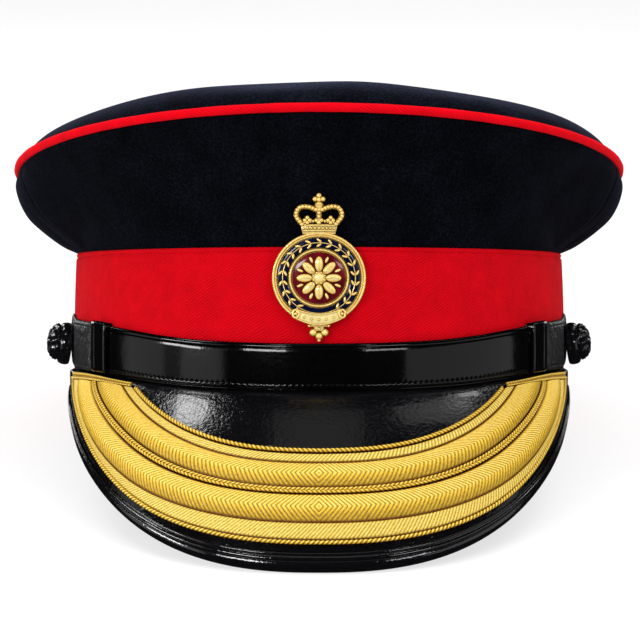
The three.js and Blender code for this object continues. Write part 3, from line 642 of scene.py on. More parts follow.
def gilt_finish(name, colour):
    """Gilding with painted light and shade: bright where a face stands forward, shaded dark brown
    down its sides, with worn patches.
    """
    gilt = Finish(name)
    wear = gilt.noise(900, 3, 0.6)
    # Painted highlight and shade by how squarely a face looks forward, mixed with some worn
    # patches
    gilt.colours(gilt.blend(gilt.relief(), 0.75, wear, 0.25), (0.2, shade(colour, 0.07)),
                 (0.44, shade(colour, 0.42)), (0.66, colour), (0.88, (1.0, 0.85, 0.36)))
    gilt.set(Roughness=gilt.scaled(wear, 0.16, 0.12),
             Normal=gilt.bump(gilt.noise(1500, 2, 0.5), 0.00018, 0.3),
             Metallic=0.25, Specular_IOR_Level=0.8)
    return gilt.material


def enamel_finish(name, colour):
    """Glossy enamel, a little cloudy."""
    enamel = Finish(name)
    clouds = enamel.noise(260, 3, 0.5)
    enamel.colours(clouds, (0.3, shade(colour, 0.5)), (0.7, shade(colour, 1.3)))
    enamel.set(Roughness=enamel.scaled(clouds, 0.08, 0.12), Specular_IOR_Level=0.4,
               Coat_Weight=0.4, Coat_Roughness=0.05)
    return enamel.material


def button_finish(name, colour):
    """Glossy black, with a fine grain."""
    button = Finish(name)
    grain = button.noise(900, 2, 0.5)
    button.colours(grain, (0.3, shade(colour, 0.7)), (0.7, shade(colour, 1.6)))
    button.set(Roughness=button.scaled(grain, 0.06, 0.08),
               Normal=button.bump(grain, 0.0002, 0.25),
               Specular_IOR_Level=0.6, Coat_Weight=0.6, Coat_Roughness=0.04)
    return button.material


def floor_finish(name, colour, glow):
    """Pale floor lit from below too, so that shadows on it stay faint."""
    paper = Finish(name)
    grain = paper.noise(40, 2, 0.5)
    paper.colours(grain, (0.3, shade(colour, 0.985)), (0.7, shade(colour, 1.0)))
    paper.set(Roughness=0.95, Specular_IOR_Level=0.0, Emission_Color=(1, 1, 1, 1),
              Emission_Strength=glow)
    return paper.material


def finish(name, maker, *values, **details):
    """The finish of that name, made the first time that it is asked for."""
    return bpy.data.materials.get(name) or maker(name, *values, **details)


def patent(part, darkness, *values, **details):
    """A part's own patent leather, at its share of the leather's black."""
    black = shade(bpy.context.scene.cap_leather.black, darkness)
    return finish(f"patent_{part}", patent_finish, black, *values, **details)


def scarlet(name, brightness):
    cloth = bpy.context.scene.cap_cloth
    return finish(name, twill_finish, shade(cloth.scarlet, brightness), cloth.twill_spacing,
                  cloth.twill_slant)


def gold_thread(pale=False):
    lace = bpy.context.scene.cap_lace
    if pale:
        return finish("pale_lace_thread", lace_finish, lace.pale_gold, lace.gold_in_shade)
    return finish("gold_lace_thread", lace_finish, lace.gold, lace.gold_in_shade)


# Settings

COLOUR = {"subtype": "COLOR", "size": 3, "min": 0, "max": 1}
ANGLE = {"subtype": "ANGLE", "unit": "ROTATION"}


class ClothSettings(bpy.types.PropertyGroup):
    navy: bpy.props.FloatVectorProperty(
        name="Navy", description="Colour of the crown's felt",
        default=(0.0019, 0.0023, 0.0042), **COLOUR)
    scarlet: bpy.props.FloatVectorProperty(
        name="Scarlet", description="Colour of the band and piping",
        default=(0.53, 0.0006, 0.0055), **COLOUR)
    twill_spacing: bpy.props.FloatProperty(
        name="Twill spacing", description="Distance between the twill's ribs, in millimetres",
        default=0.88, min=0.3, max=3)
    twill_slant: bpy.props.FloatProperty(
        name="Twill slant", description="Angle at which the twill's ribs climb",
        default=math.radians(30), **ANGLE)
    fold_depth: bpy.props.FloatProperty(
        name="Fold depth", description="Depth of the crown's soft folds, in millimetres",
        default=1.6, min=0, max=4)


class LeatherSettings(bpy.types.PropertyGroup):
    black: bpy.props.FloatVectorProperty(
        name="Black", description="Colour of the patent leather",
        default=(0.0022, 0.0022, 0.0028), **COLOUR)
    crease_depth: bpy.props.FloatProperty(
        name="Crease depth", description="Depth of the lines pressed along the strap's edges, "
        "in millimetres", default=0.3, min=0, max=0.8)
    crease_inset: bpy.props.FloatProperty(
        name="Crease inset", description="How far those lines lie from the edge, in millimetres",
        default=1.5, min=0.5, max=3)
    stitch_length: bpy.props.FloatProperty(
        name="Stitch length", description="Length of a stitch along the strap's lower line, in "
        "millimetres", default=1.9, min=1, max=5)


class LaceSettings(bpy.types.PropertyGroup):
    gold: bpy.props.FloatVectorProperty(
        name="Gold", description="Colour of the thread where it catches the light",
        default=(0.91, 0.56, 0.033), **COLOUR)
    pale_gold: bpy.props.FloatVectorProperty(
        name="Pale gold", description="Colour of the flat strips' thread",
        default=(0.82, 0.56, 0.075), **COLOUR)
    # Painted shade of the gold, used in the grooves, on the edges and over the lower halves of the
    # lace
    gold_in_shade: bpy.props.FloatVectorProperty(
        name="Deep gold", description="Colour between the threads",
        default=(0.15, 0.042, 0.002), **COLOUR)
    thread_spacing: bpy.props.FloatProperty(
        name="Thread spacing", description="Distance between the herringbone threads along the "
        "bars, in millimetres", default=1.45, min=0.4, max=3)
    strip_spacing: bpy.props.FloatProperty(
        name="Strip spacing", description="Distance between the slanting threads of the flat "
        "strips, in millimetres", default=1.25, min=0.4, max=3)
    thread_depth: bpy.props.FloatProperty(
        name="Thread depth", description="Height of the threads over the grooves, in "
        "millimetres", default=0.36, min=0, max=0.6)
    thread_slant: bpy.props.FloatProperty(
        name="Thread slant", description="Angle of the threads to the lace's length",
        default=math.radians(48), **ANGLE)
    cord_beat: bpy.props.FloatProperty(
        name="Cord beat", description="Distance between the strands of a twisted cord, in "
        "millimetres", default=1.45, min=0.5, max=3)


class BadgeSettings(bpy.types.PropertyGroup):
    gilt: bpy.props.FloatVectorProperty(
        name="Gilt", description="Colour of the gilt metal",
        default=(0.98, 0.60, 0.12), **COLOUR)
    blue: bpy.props.FloatVectorProperty(
        name="Blue", description="Colour of the ring's enamel",
        default=(0.002, 0.004, 0.024), **COLOUR)
    red: bpy.props.FloatVectorProperty(
        name="Red", description="Colour of the centre's enamel",
        default=(0.13, 0.002, 0.008), **COLOUR)


class StudioSettings(bpy.types.PropertyGroup):
    light_power: bpy.props.FloatProperty(
        name="Light power", description="Share of the bright lights' full power",
        default=1.0, min=0)
    panel_power: bpy.props.FloatProperty(
        name="Panel power", description="Share of the dim panels' full power",
        default=1.0, min=0)
    sky: bpy.props.FloatVectorProperty(
        name="Sky", description="Colour of the light from all round",
        default=(0.66, 0.66, 0.67), **COLOUR)
    sky_gloss: bpy.props.FloatProperty(
        name="Sky gloss", description="Share of that light that shows in glossy surfaces",
        subtype="FACTOR", default=0.015, min=0, max=1)
    lens: bpy.props.FloatProperty(
        name="Lens", description="Focal length of the camera", unit="CAMERA", default=160.8)
    distance: bpy.props.FloatProperty(
        name="Distance", description="Distance of the camera in front of the band's middle",
        unit="LENGTH", default=1.0)
    height: bpy.props.FloatProperty(
        name="Height", description="Height of the camera over the level cap's band foot",
        unit="LENGTH", default=0.0224)


SETTINGS = {
    "cap_cloth": ClothSettings, "cap_leather": LeatherSettings, "cap_lace": LaceSettings,
    "cap_badge": BadgeSettings, "cap_studio": StudioSettings,
}


# Crown, piping and band

# The front's shape turns into the sides' between these degrees, near the rim and by the band
TURN_AT_RIM = (55, 85)
TURN_AT_FOLD = (72, 80)
FOLD_RISE = 0.5
# Folds by degrees from the front and width in degrees, with the share of the fold depth
CREASE_AT, CREASE_WIDTH, CREASE_SHARE = 77.5, 1.9, 0.8
FOLD_EDGE_AT, FOLD_EDGE_WIDTH, FOLD_EDGE_SHARE = CREASE_AT - 4.1, 1.5, 0.3
DENT_AT, DENT_WIDTH, DENT_SHARE = 148, 9, 0.4
SEAM_GROOVE, SEAM_GROOVE_WIDTH = 0.3, 0.55
WALL_UNEVENNESS, DOME_UNEVENNESS = 0.25, 0.5
# Rows and stations of the meshes, with more stations by a seam, in millimetres from it
RIM_STATIONS, WALL_ROWS = 384, 33
DOME_STATIONS, DOME_ROWS = 256, 49
SEAM_STATIONS = (-1.3, -0.8, -0.4, 0, 0.4, 0.8, 1.3)


def side_share(angle, rise):
    turn = np.degrees(np.abs(angle))
    fade = smooth_step(rise / FOLD_RISE)
    start = mix(TURN_AT_FOLD[0], TURN_AT_RIM[0], fade)
    stop = mix(TURN_AT_FOLD[1], TURN_AT_RIM[1], fade)
    return smooth_step((turn - start) / (stop - start))


def fold_push(angle, rise, depth):
    """Sharp folds where the stiffened front stops, and slight unevenness all round."""
    turn = np.degrees(np.abs(angle))
    low = smooth_step(rise / 0.06) * bump(rise, 0.08, 0.26)
    crease = bump(turn, CREASE_AT, CREASE_WIDTH) * low
    edge = bump(turn, FOLD_EDGE_AT, FOLD_EDGE_WIDTH) * low
    dent = bump(turn, DENT_AT, DENT_WIDTH) * bump(rise, 0.45, 0.25)
    ease = WALL_UNEVENNESS * np.sin(5 * angle + 0.6) * np.sin(rise * math.pi)
    seams = sum(bump((angle - seam) * RIM_HALF_WIDTH, 0, SEAM_GROOVE_WIDTH)
                for seam in PANEL_SEAMS)
    folds = FOLD_EDGE_SHARE * edge - CREASE_SHARE * crease - DENT_SHARE * dent
    return depth * folds + ease - SEAM_GROOVE * seams


def crown_angles():
    near = np.array(SEAM_STATIONS) / RIM_HALF_WIDTH
    seams = (PANEL_SEAMS[:, None] + near[None, :]).ravel()
    return np.unique(np.concatenate([around(RIM_STATIONS), seams]))


class FORAGECAP_OT_crown_side(bpy.types.Operator):
    """Wall of the crown, from the band to the piping"""
    bl_idname = "forage_cap.crown_side"
    bl_label = "Crown Side"

    def execute(self, context):
        cloth = context.scene.cap_cloth
        angle = crown_angles()[:, None]
        rise = np.linspace(0, 1, WALL_ROWS)[None, :]
        foot = band_face(angle, BAND_HEIGHT, -NECK_INSET)
        rim = rim_point(angle, 0, -SEAM_DEPTH)
        outwards = rim - foot
        outwards[..., 2] = 0
        reach = np.linalg.norm(outwards, axis=-1)
        spread = mix(read_table(WALL_SHAPE, "rise", rise, "front"),
                     read_table(WALL_SHAPE, "rise", rise, "side"), side_share(angle, rise))
        out = reach * spread + fold_push(angle, rise, cloth.fold_depth)
        wall = foot + unit(outwards) * out[..., None]
        wall[..., 2] = foot[..., 2] + FOOT_GAP + (rim[..., 2] - foot[..., 2] - FOOT_GAP) * rise
        allowance = np.stack([rim_point(angle[:, 0], inset, -SEAM_DEPTH)
                              for inset in SEAM_ALLOWANCE], 1)
        cover("crown_side_felt", np.concatenate([wall, allowance], axis=1), CROWN_PANELS,
              "navy_cloth", finish("navy_felt", felt_finish, cloth.navy),
              sharp=50, wall=CROWN_WALL)
        return {"FINISHED"}


class FORAGECAP_OT_crown_top(bpy.types.Operator):
    """Domed top of the crown"""
    bl_idname = "forage_cap.crown_top"
    bl_label = "Crown Top"

    def execute(self, context):
        cloth = context.scene.cap_cloth
        angle = around(DOME_STATIONS)[:, None]
        share = np.sin(np.linspace(1, 0, DOME_ROWS) * math.pi / 2)[None, :]
        lip = GAP - SEAM_DEPTH
        heart = np.array([0, RIM_CENTRE_Y, RIM_CENTRE_HEIGHT])
        points = heart + (rim_point(angle, SEAM_INSET, 0) - heart) * share[..., None]
        arch = np.maximum(0, 1 - share ** DOME_OUT) ** (1 / DOME_UP)
        points[..., 2] += lip + (DOME_HEIGHT - lip) * arch
        # The cloth lies a little unevenly just inside the rim
        ease = DOME_UNEVENNESS * bump(share, 0.9, 0.12)
        ease = ease * np.sin(7 * angle + 1.1 * np.sin(3 * angle))
        points[..., 2] += ease * np.minimum(1, (1 - share) * 12)
        points[:, -1] = points[:, -1].mean(axis=0)
        # The top's felt is a copy painted half again lighter, for the light that falls on it from
        # above, and has a stronger sheen
        felt = finish("navy_felt_top", felt_finish, shade(cloth.navy, 1.5), 0.14)
        cover("crown_top_felt", points, "crown_top", "navy_cloth", felt, sharp=50,
              wall=CROWN_WALL)
        return {"FINISHED"}


class FORAGECAP_OT_piping(bpy.types.Operator):
    """Scarlet piping round the crown's rim"""
    bl_idname = "forage_cap.piping"
    bl_label = "Piping"

    def execute(self, context):
        angle = around(RIM_STATIONS)
        ahead = unit(rim_point(angle + 0.01, 0, 0) - rim_point(angle - 0.01, 0, 0))
        across = unit(np.cross(np.array([0, 0, 1.0]), ahead))
        uneven = np.sin(37 * angle[:, None] + np.sin(9 * angle[:, None]))
        points = tube(rim_point(angle, 0, 0), across, np.cross(ahead, across),
                      PIPING_RADIUS * (1 + 0.02 * uneven), full_turn(20)[None, :])
        piece = cover("piping_cord", points, "piping", "scarlet_cloth",
                      scarlet("scarlet_piping", 1.25))
        piece.visible_glossy = False
        return {"FINISHED"}


# Heights of the rows up the band's face and down its inside, closer by the turned edges
BAND_ROWS = (0, 0.25, 0.8, *np.linspace(2.5, 42.2, 22), 42.8, 43.2, 43.5, 43.8, 44.3, 44.75, 45)
INSIDE_ROWS = (BAND_HEIGHT, 22.0, 0.4)
BAND_STATIONS = 320
EDGE_GROOVE, EDGE_GROOVE_WIDTH = 0.45, 0.35
BACK_SEAM, BACK_SEAM_WIDTH = 0.5, 0.7
BAND_UNEVENNESS = 0.12


class FORAGECAP_OT_band(bpy.types.Operator):
    """Scarlet band, with a turned edge at the top and a seam at the back"""
    bl_idname = "forage_cap.band"
    bl_label = "Band"

    def execute(self, context):
        angle = around(BAND_STATIONS)[:, None]
        face = np.array(BAND_ROWS, float)
        off = -EDGE_GROOVE * sum(bump(face, groove, EDGE_GROOVE_WIDTH)
                                 for groove in (BAND_FOLD, BAND_HEIGHT, 0))
        from_seam = np.abs(np.abs(angle) - math.pi) * BAND_HALF_LENGTH
        seam = -BACK_SEAM * bump(from_seam, 0, BACK_SEAM_WIDTH)
        bulge = np.sin(face[None, :] / BAND_HEIGHT * math.pi)
        ease = BAND_UNEVENNESS * np.sin(6 * angle + 0.5) * bulge
        outer = band_face(angle, face[None, :], off[None, :] + seam + ease)
        inner = np.stack([band_face(angle[:, 0], height, -BAND_WALL)
                          for height in INSIDE_ROWS], 1)
        points = np.concatenate([outer, inner, outer[:, :1]], axis=1)
        piece = cover("band_cloth", points, "band", "scarlet_cloth",
                      scarlet("scarlet_twill", 1.0), sharp=60)
        # The band isn't mirrored in the lacquer of the peak and buttons
        piece.visible_glossy = False
        return {"FINISHED"}


# Peak and its binding

def peak_stations(count):
    place = np.linspace(-1, 1, count)
    return PEAK_END * (1.3 * place - 0.3 * place ** 3)


# Rows down the peak's upper face and back up its underside, and lifts at their four ends
FACE_ROWS, UNDERSIDE_ROWS = 36, 13
PEAK_ENDS = (-0.35, -0.3, -1.7, -1.65)
# The lip at the peak's root: its foot's depth under the root and distance off the band, its
# top's height over the strap's lower edge, and its steps from there, up and off the band
LIP_FOOT = (1.1, 0.35)
LIP_TOP = 0.7
LIP_STEPS = ((0, 0.1), (0, 0.3), (-0.95, 0.32), (-1.1, 1.0))


class FORAGECAP_OT_peak(bpy.types.Operator):
    """Patent leather peak"""
    bl_idname = "forage_cap.peak"
    bl_label = "Peak"

    def execute(self, context):
        angle = peak_stations(181)[:, None]
        stop = 1 - (BINDING_SLOT + PEAK_EDGE_GAP) * corner_share(angle) / rib_length(angle)
        share = np.concatenate([np.linspace(0, 1, FACE_ROWS),
                                np.linspace(1, 0, UNDERSIDE_ROWS)])[None, :]
        lift = np.concatenate([np.zeros(FACE_ROWS), np.full(UNDERSIDE_ROWS, -PEAK_THICKNESS)])
        lift[[0, FACE_ROWS - 1, FACE_ROWS, -1]] = PEAK_ENDS
        sheet = peak_point(angle, share * stop, thinned(angle, lift[None, :]))
        # A turned-up lip closes the gap between the peak, the band and the strap
        top = trim_height(angle, "middle") - trim_height(angle, "half") + LIP_TOP
        foot = band_face(angle, trim_height(angle, "root") - LIP_FOOT[0], LIP_FOOT[1])
        lip = [band_face(angle, top + up, off) for up, off in LIP_STEPS]
        points = np.concatenate([foot, *lip, sheet, foot], axis=1)
        cover("peak_leather", points, "peak", "patent_leather", patent("peak", 1.0, 0.1, 0.22),
              sharp=60, close_ends=True)
        return {"FINISHED"}


# Section of the binding: distance in from its nose, and height over the peak's upper face
BINDING_SECTION = (
    (5.0, 0.3), (5.05, 0.62), (4.9, 0.9), (4.6, 1.02), (4.25, 1.0), (4.0, 0.82), (3.75, 1.04),
    (3.3, 1.2), (2.9, 1.22), (2.55, 1.15), (2.35, 0.94), (2.2, 1.14), (2.05, 1.17), (1.55, 1.11),
    (1.05, 1.05), (0.75, 0.9), (0.48, 0.6), (0.2, 0.1), (0.04, -0.4), (0, -0.9),
    (0.06, -1.4), (0.3, -1.9),
    (0.75, -2.35), (1.4, -2.65), (2.2, -2.8), (3.0, -2.82), (4.2, -2.75), (5.0, -2.65),
    (5.0, -2.35), (1.5, -2.35), (1.5, 0.3),
)


class FORAGECAP_OT_binding(bpy.types.Operator):
    """Rolled and stitched binding round the peak's edge"""
    bl_idname = "forage_cap.binding"
    bl_label = "Peak Binding"

    def execute(self, context):
        angle = peak_stations(321)[:, None]
        section = np.array(BINDING_SECTION + BINDING_SECTION[:1])
        along = 1 - section[None, :, 0] * corner_share(angle) / rib_length(angle)
        points = peak_point(angle, along, thinned(angle, section[None, :, 1]))
        cover("binding_leather", points, "peak_binding", "patent_leather",
              patent("binding", 1.0, 0.06, 0.1, shine=0.95), sharp=60, close_ends=True)
        return {"FINISHED"}


# Gold lace

# Bars and strips by the share of the way down the peak where each starts and stops
LACE_BARS = (("lace_bar_upper", 0.45, 0.579), ("lace_bar_lower", 0.624, 0.763))
LACE_STRIPS = (("lace_strip_upper", 0.395, 0.442), ("lace_strip_lower", 0.77, 0.852))
# The same for the cords, with each one's share across, lift and radius, and its hand
LACE_CORDS = (
    ("lace_cord_upper", 0.365, 0.388, ((0.5, 1.0, 0.66),), 1),
    ("lace_cord_middle", 0.586, 0.616, ((0.26, 0.95, 0.52), (0.74, 0.95, 0.52)), -1),
    ("lace_cord_lower", 0.859, 0.881, ((0.5, 1.0, 0.64),), -1),
)
STRANDS = 2
CORD_STATION = 0.25
# How far the padding under a bar or strip reaches out past its edges, in millimetres
LACE_FLANGE = 0.19
# Distance between the wraps of wire on a thread, in millimetres
WIRE_SPACING = 0.22
# Relief of threads that are pulled flat, and millimetres over which they become so
PULLED_FLAT, PULL_RUN = 0.8, 45
# Shares across a bar from which painted shade darkens its colour, and over which it deepens
LOWER_SHADE_FROM, LOWER_SHADE_OVER = 0.42, 0.5
# Lift of a bar's and a strip's face at its edges, and how much more in the middle
BAR_LIFT, BAR_PADDING = 0.9, 1.22
STRIP_LIFT, STRIP_PADDING = 0.8, 0.3
# Share of a cord's radius in the grooves between its strands, and how much more on them
CORD_WAIST, STRAND_HEIGHT = 0.66, 0.4
# Lace ends: degrees from the front where they start and stop, and how far down they reach
LACE_END_SPAN = (42.5, 67.8)
LACE_END_REACH = 3.0
# Section of a lace end: distance down from the peak's root, and lift over the peak
LACE_END_SECTION = (
    (3.0, 0.4), (3.05, 0.9), (2.95, 1.2), (2.75, 1.45), (2.5, 1.5), (2.3, 1.35), (2.1, 1.0),
    (1.7, 0.95), (1.3, 1.0), (1.05, 1.3), (0.85, 1.48), (0.6, 1.4), (0.35, 1.15), (0.22, 0.85),
    (0.2, 0.4), (1.6, 0.4), (3.0, 0.4),
)
# Distance down at which its two cords meet, and the height of their strands
LACE_END_MIDDLE = 1.65
LACE_END_STRANDS = 0.3


def lace_grid(start, stop, turns, shares, lifts):
    upper, upper_stop = lace_line(start)
    lower, lower_stop = lace_line(stop)
    angle = turns * mix(upper_stop, lower_stop, shares)
    along = mix(upper(turns * upper_stop), lower(turns * lower_stop), shares)
    return peak_point(angle, along, lifts)


def even_turns(start, stop, spacing):
    """Stations along a piece of lace that lie evenly spaced, in shares from -1 to 1."""
    dense = np.linspace(-1, 1, 1601)
    length = path_lengths(lace_grid(start, stop, dense, 0.5, 1.0))
    count = int(length[-1] / spacing) // 2 * 2 + 1
    return np.interp(np.linspace(0, length[-1], count), length, dense)


def ridge(phase):
    """Rounded threads side by side: 0 in the groove, 1 on the crest, one thread to a unit."""
    return np.abs(np.sin(math.pi * phase)) ** 0.75


def sew_lace(node, start, stop, material, threads, *, top, side, low, spacing, pull, pull_from,
             soft_edge, depth, lower_shade=0.0):
    """Lays a bar or strip of lace over the peak. threads counts threads by the length along,
    the length across and the distance from the middle line. top is the lift of its upper face,
    side that of its edges and low that of its underside. From pull_from millimetres on, the
    threads are pulled flat by the share pull. The last argument paints shade over the lower
    half, darkening its colour by that share; grooves, edges and sides take the deep shade colour."""
    last = len(top) + 1
    rise = np.concatenate([[low, side], top, [side, low, low, low]])
    on_top = np.concatenate([[0, 0], np.ones(len(top)), [0, 0, 0, 0]])
    flange = LACE_FLANGE / ((stop - start) * FULL_RIB)
    share = np.concatenate([[-flange, -flange], np.linspace(0, 1, len(top)),
                            [1 + flange, 1 + flange, 0.5, -flange]])[None, :]
    turns = even_turns(start, stop, spacing)[:, None]
    lengths = weave_lengths(lace_grid(start, stop, turns, share, rise[None, :]))
    along, across = lengths[..., 0], lengths[..., 1]
    width = across[:, last:last + 1] - across[:, 2:3]
    out = np.abs(across - across[:, 2:3] - width / 2)
    woven = mix(ridge(threads(along, across, out)), PULLED_FLAT,
                pull * smooth_step((np.abs(along) - pull_from) / PULL_RUN))
    woven = woven * smooth_step((width / 2 - out) / soft_edge) * on_top
    points = lace_grid(start, stop, turns, share,
                       rise[None, :] + depth * (woven - 0.5) * on_top)
    # Painted shade: the colour darkens over the lower half, and the grooves, edges and sides, at
    # zero relief, take the deep colour
    painted_lower_shade = lower_shade * smooth_step((share - LOWER_SHADE_FROM) / LOWER_SHADE_OVER)
    cover(node + "_thread", points, node, "gold_lace", material, weave=lengths,
          relief=woven * (1 - painted_lower_shade), close_ends=True)


class FORAGECAP_OT_lace_bars(bpy.types.Operator):
    """Padded bars of herringbone lace"""
    bl_idname = "forage_cap.lace_bars"
    bl_label = "Lace Bars"

    def execute(self, context):
        lace = context.scene.cap_lace
        across = np.linspace(0, 1, 37)
        rounded = np.maximum(0, 1 - np.abs(2 * across - 1) ** 2.3) ** 0.8
        top = BAR_LIFT + BAR_PADDING * rounded
        slant = 1 / math.tan(lace.thread_slant)

        def herringbone(along, across, out):
            return (np.abs(along) + out * slant) / lace.thread_spacing

        for node, start, stop in LACE_BARS:
            # Each bar's lower half is painted in shade, 0.42 deep
            sew_lace(node, start, stop, gold_thread(), herringbone, top=top, side=0.75,
                     low=0.45, spacing=0.26, pull=0.75, pull_from=95, soft_edge=0.5,
                     depth=lace.thread_depth, lower_shade=0.42)
        return {"FINISHED"}


class FORAGECAP_OT_lace_strips(bpy.types.Operator):
    """Flat strips of slanting lace beside the bars"""
    bl_idname = "forage_cap.lace_strips"
    bl_label = "Lace Strips"

    def execute(self, context):
        lace = context.scene.cap_lace
        across = np.linspace(0, 1, 19)
        top = STRIP_LIFT + STRIP_PADDING * np.maximum(0, 1 - np.abs(2 * across - 1) ** 6)
        slant = 1 / math.tan(lace.thread_slant)

        def slanting(along, across, out):
            return (along + across * slant) / lace.strip_spacing

        for node, start, stop in LACE_STRIPS:
            sew_lace(node, start, stop, gold_thread(pale=True), slanting, top=top,
                     side=0.65, low=0.4, spacing=0.3, pull=0.7, pull_from=85, soft_edge=0.4,
                     depth=0.8 * lace.thread_depth)
        return {"FINISHED"}


class FORAGECAP_OT_lace_cords(bpy.types.Operator):
    """Twisted cords along the lace"""
    bl_idname = "forage_cap.lace_cords"
    bl_label = "Lace Cords"

    def execute(self, context):
        lace = context.scene.cap_lace
        turn = full_turn(16)[None, :]
        # Painted shade: deep colour in the grooves between strands, darkening down the cord's
        # sides to its lower half
        side = np.maximum(0, np.sin(turn)) ** 0.6
        for node, start, stop, cores, hand in LACE_CORDS:
            turns = even_turns(start, stop, CORD_STATION)
            for number, (share, lift, radius) in enumerate(cores):
                core = lace_grid(start, stop, turns, share, lift)
                ahead = unit(np.gradient(core, axis=0))
                upright = unit(lace_grid(start, stop, turns, share, lift + 0.5) - core)
                lay = hand * (1 if number == 0 else -1)
                wound = (turn / (2 * math.pi) * STRANDS
                         + lay * path_lengths(core)[:, None] / lace.cord_beat)
                woven = np.abs(np.sin(math.pi * wound)) ** 0.9
                points = tube(core, np.cross(ahead, upright), upright,
                              radius * (CORD_WAIST + STRAND_HEIGHT * woven), turn)
                cover(f"{node}_thread_{number}", points, node, "gold_lace",
                      gold_thread(), relief=woven ** 1.6 * side, close_ends=True)
        return {"FINISHED"}


class FORAGECAP_OT_lace_ends(bpy.types.Operator):
    """Narrow strips that finish the lace by the band"""
    bl_idname = "forage_cap.lace_ends"
    bl_label = "Lace Ends"

    def execute(self, context):
        lace = context.scene.cap_lace
        down, lift = np.array(LACE_END_SECTION).T
        for name, side in SIDES:
            angle = side * np.radians(np.linspace(*LACE_END_SPAN, 201))[:, None]
            # They narrow from the outer end to the inner one
            narrow = mix(0.6, 1.0, smooth_step((np.abs(angle) - math.radians(43)) / 0.35))
            along = mix(LACE_END_REACH, down[None, :], narrow) / rib_length(angle)
            height = mix(lift[-1], lift[None, :], 0.55 + 0.45 * narrow)
            lengths = weave_lengths(peak_point(angle, along, height))
            # Two cords side by side, twisted opposite ways
            lay = np.where(down > LACE_END_MIDDLE, -1.0, 1.0)[None, :]
            woven = ridge((lengths[..., 0] + lay * lengths[..., 1] * 0.8) / lace.cord_beat)
            on_top = (lift > 0.5)[None, :]
            # Painted light: only the raised tops of the section take the bright colour, and the
            # rest and the grooves take the deep shade
            painted_light_on_top = np.clip((lift - 0.85) / 0.45, 0, 1)[None, :]
            strands = LACE_END_STRANDS * (woven - 0.5) * on_top
            points = peak_point(angle, along, height + strands)
            cover(f"lace_end_{name}_thread", points, f"lace_end_{name}", "gold_lace",
                  gold_thread(), weave=lengths, relief=woven * painted_light_on_top,
                  close_ends=True)
        return {"FINISHED"}


# Chin strap and keepers

# Stations lie closer where the tabs round off, in millimetres from the end
TAB_STATIONS = (0.15, 0.4, 0.7, 1.1, 1.6, 2.2, 2.9, 3.7, 4.6, 5.6, 6.7, 7.9, 9.3, 11, 13, 15.5, 18)
STRAP_STATIONS = 700


class FORAGECAP_OT_strap(bpy.types.Operator):
    """Patent chin strap with a line pressed along each edge"""
    bl_idname = "forage_cap.strap"
    bl_label = "Chin Strap"

    def execute(self, context):
        leather = context.scene.cap_leather
        near_end = np.array(TAB_STATIONS) / BAND_HALF_LENGTH
        inside = np.linspace(-STRAP_END + 0.2, STRAP_END - 0.2, STRAP_STATIONS)
        angle = np.concatenate([-STRAP_END + near_end, inside, (STRAP_END - near_end)[::-1]])
        angle = angle[:, None]
        half = strap_half_width(angle)
        inset = leather.crease_inset
        # Distance in from the nearer edge, with its sign for the lower or upper half
        steps = np.array([0.0, 0.12, 0.35, 0.7, inset - 0.35, inset - 0.15, inset, inset + 0.15,
                          inset + 0.4, 3.0, 4.5])
        edge_fall = 0.75 * np.exp(-steps / 0.22) + 0.12 * np.exp(-steps / 0.9)
        crease = leather.crease_depth * bump(steps, inset, 0.17)
        # Stitches dip and rise along the lower line; the upper one is only pressed
        length = path_lengths(band_face(angle[:, 0], 0.0 * angle[:, 0]))
        stitch = 0.55 + 0.45 * np.sin(2 * math.pi * length[:, None] / leather.stitch_length)
        # The tabs are pressed thin under the buttons
        thin = TAB_PRESSED * smooth_step((np.abs(angle) - PRESSED_FROM) / PRESSED_RUN)
        face = STRAP_THICKNESS + strap_extra(angle) - edge_fall - thin
        lower = -half + steps[None, :]
        upper = (half - steps[None, :])[:, ::-1]
        top_off = np.concatenate([face - crease * stitch, face[:, -1:] + 0.05,
                                  (face - 0.5 * crease)[:, ::-1]], axis=1)
        under_off = np.array([0.25, 0.0, 0.0, 0.0, 0.25])[None, :] + 0 * half
        across = np.concatenate([lower, 0 * half, upper, half, half - 0.3, 0 * half, -half + 0.3,
                                 -half, lower[:, :1]], axis=1)
        off = np.concatenate([top_off, under_off, top_off[:, :1]], axis=1)
        points = band_face(angle + 0 * across, strap_middle(angle) + across, STRAP_GAP + off)
        cover("strap_leather", points, "strap", "patent_leather",
              patent("strap", 0.35, 0.07, 0.0, DULL_FROM), sharp=50, close_ends=True)
        return {"FINISHED"}


# Section of a keeper, five numbers a point: height over the strap's middle as a share of the
# loop's half height and as millimetres more, distance off the band as a share of the strap's
# and as millimetres more, and how far the point follows the loop's rolled side
KEEPER_SECTION = (
    (-1, 0.4, 1, 0, 0), (0, 0, 1, 0, 0), (1, -0.1, 1, 0, 0), (1, 0, 1, -0.2, 0), (1, 0, 0, 0, 0),
    (1, 0.6, 0, 0, 0), (1, 0.6, 0.5, 0, 0.2), (1, 0.6, 1, 0.35, 0.6), (1, 0.5, 1, 0.75, 0.8),
    (1, 0.25, 1, 1.1, 1), (1, -0.15, 1, 1.26, 1), (1, -0.9, 1, 1.3, 1), (0.5, 0, 1, 1.32, 1),
    (0, 0, 1, 1.33, 1), (-0.5, 0, 1, 1.32, 1), (-1, 1.6, 1, 1.3, 1), (-1, 1.0, 1, 1.2, 1),
    (-1, 0.6, 1, 0.95, 0.8), (-1, 0.42, 1, 0.6, 0.6), (-1, 0.38, 1, 0.25, 0.3),
)


# Stations along a keeper, as shares of its half length, closer where it rounds off
KEEPER_STATIONS = (-1, -0.97, -0.9, -0.8, -0.65, -0.5, -0.3, -0.1, 0.1, 0.2, 0.3, 0.36, 0.42,
                   0.5, 0.6, 0.7, 0.8, 0.88, 0.94, 0.98, 1)
# Its raised line lies at this share, and its outer side rolls down from there
KEEPER_LINE = 0.3
LINE_HEIGHT, ROLL_DEPTH, EDGE_DEPTH = 0.22, 1.05, 0.35


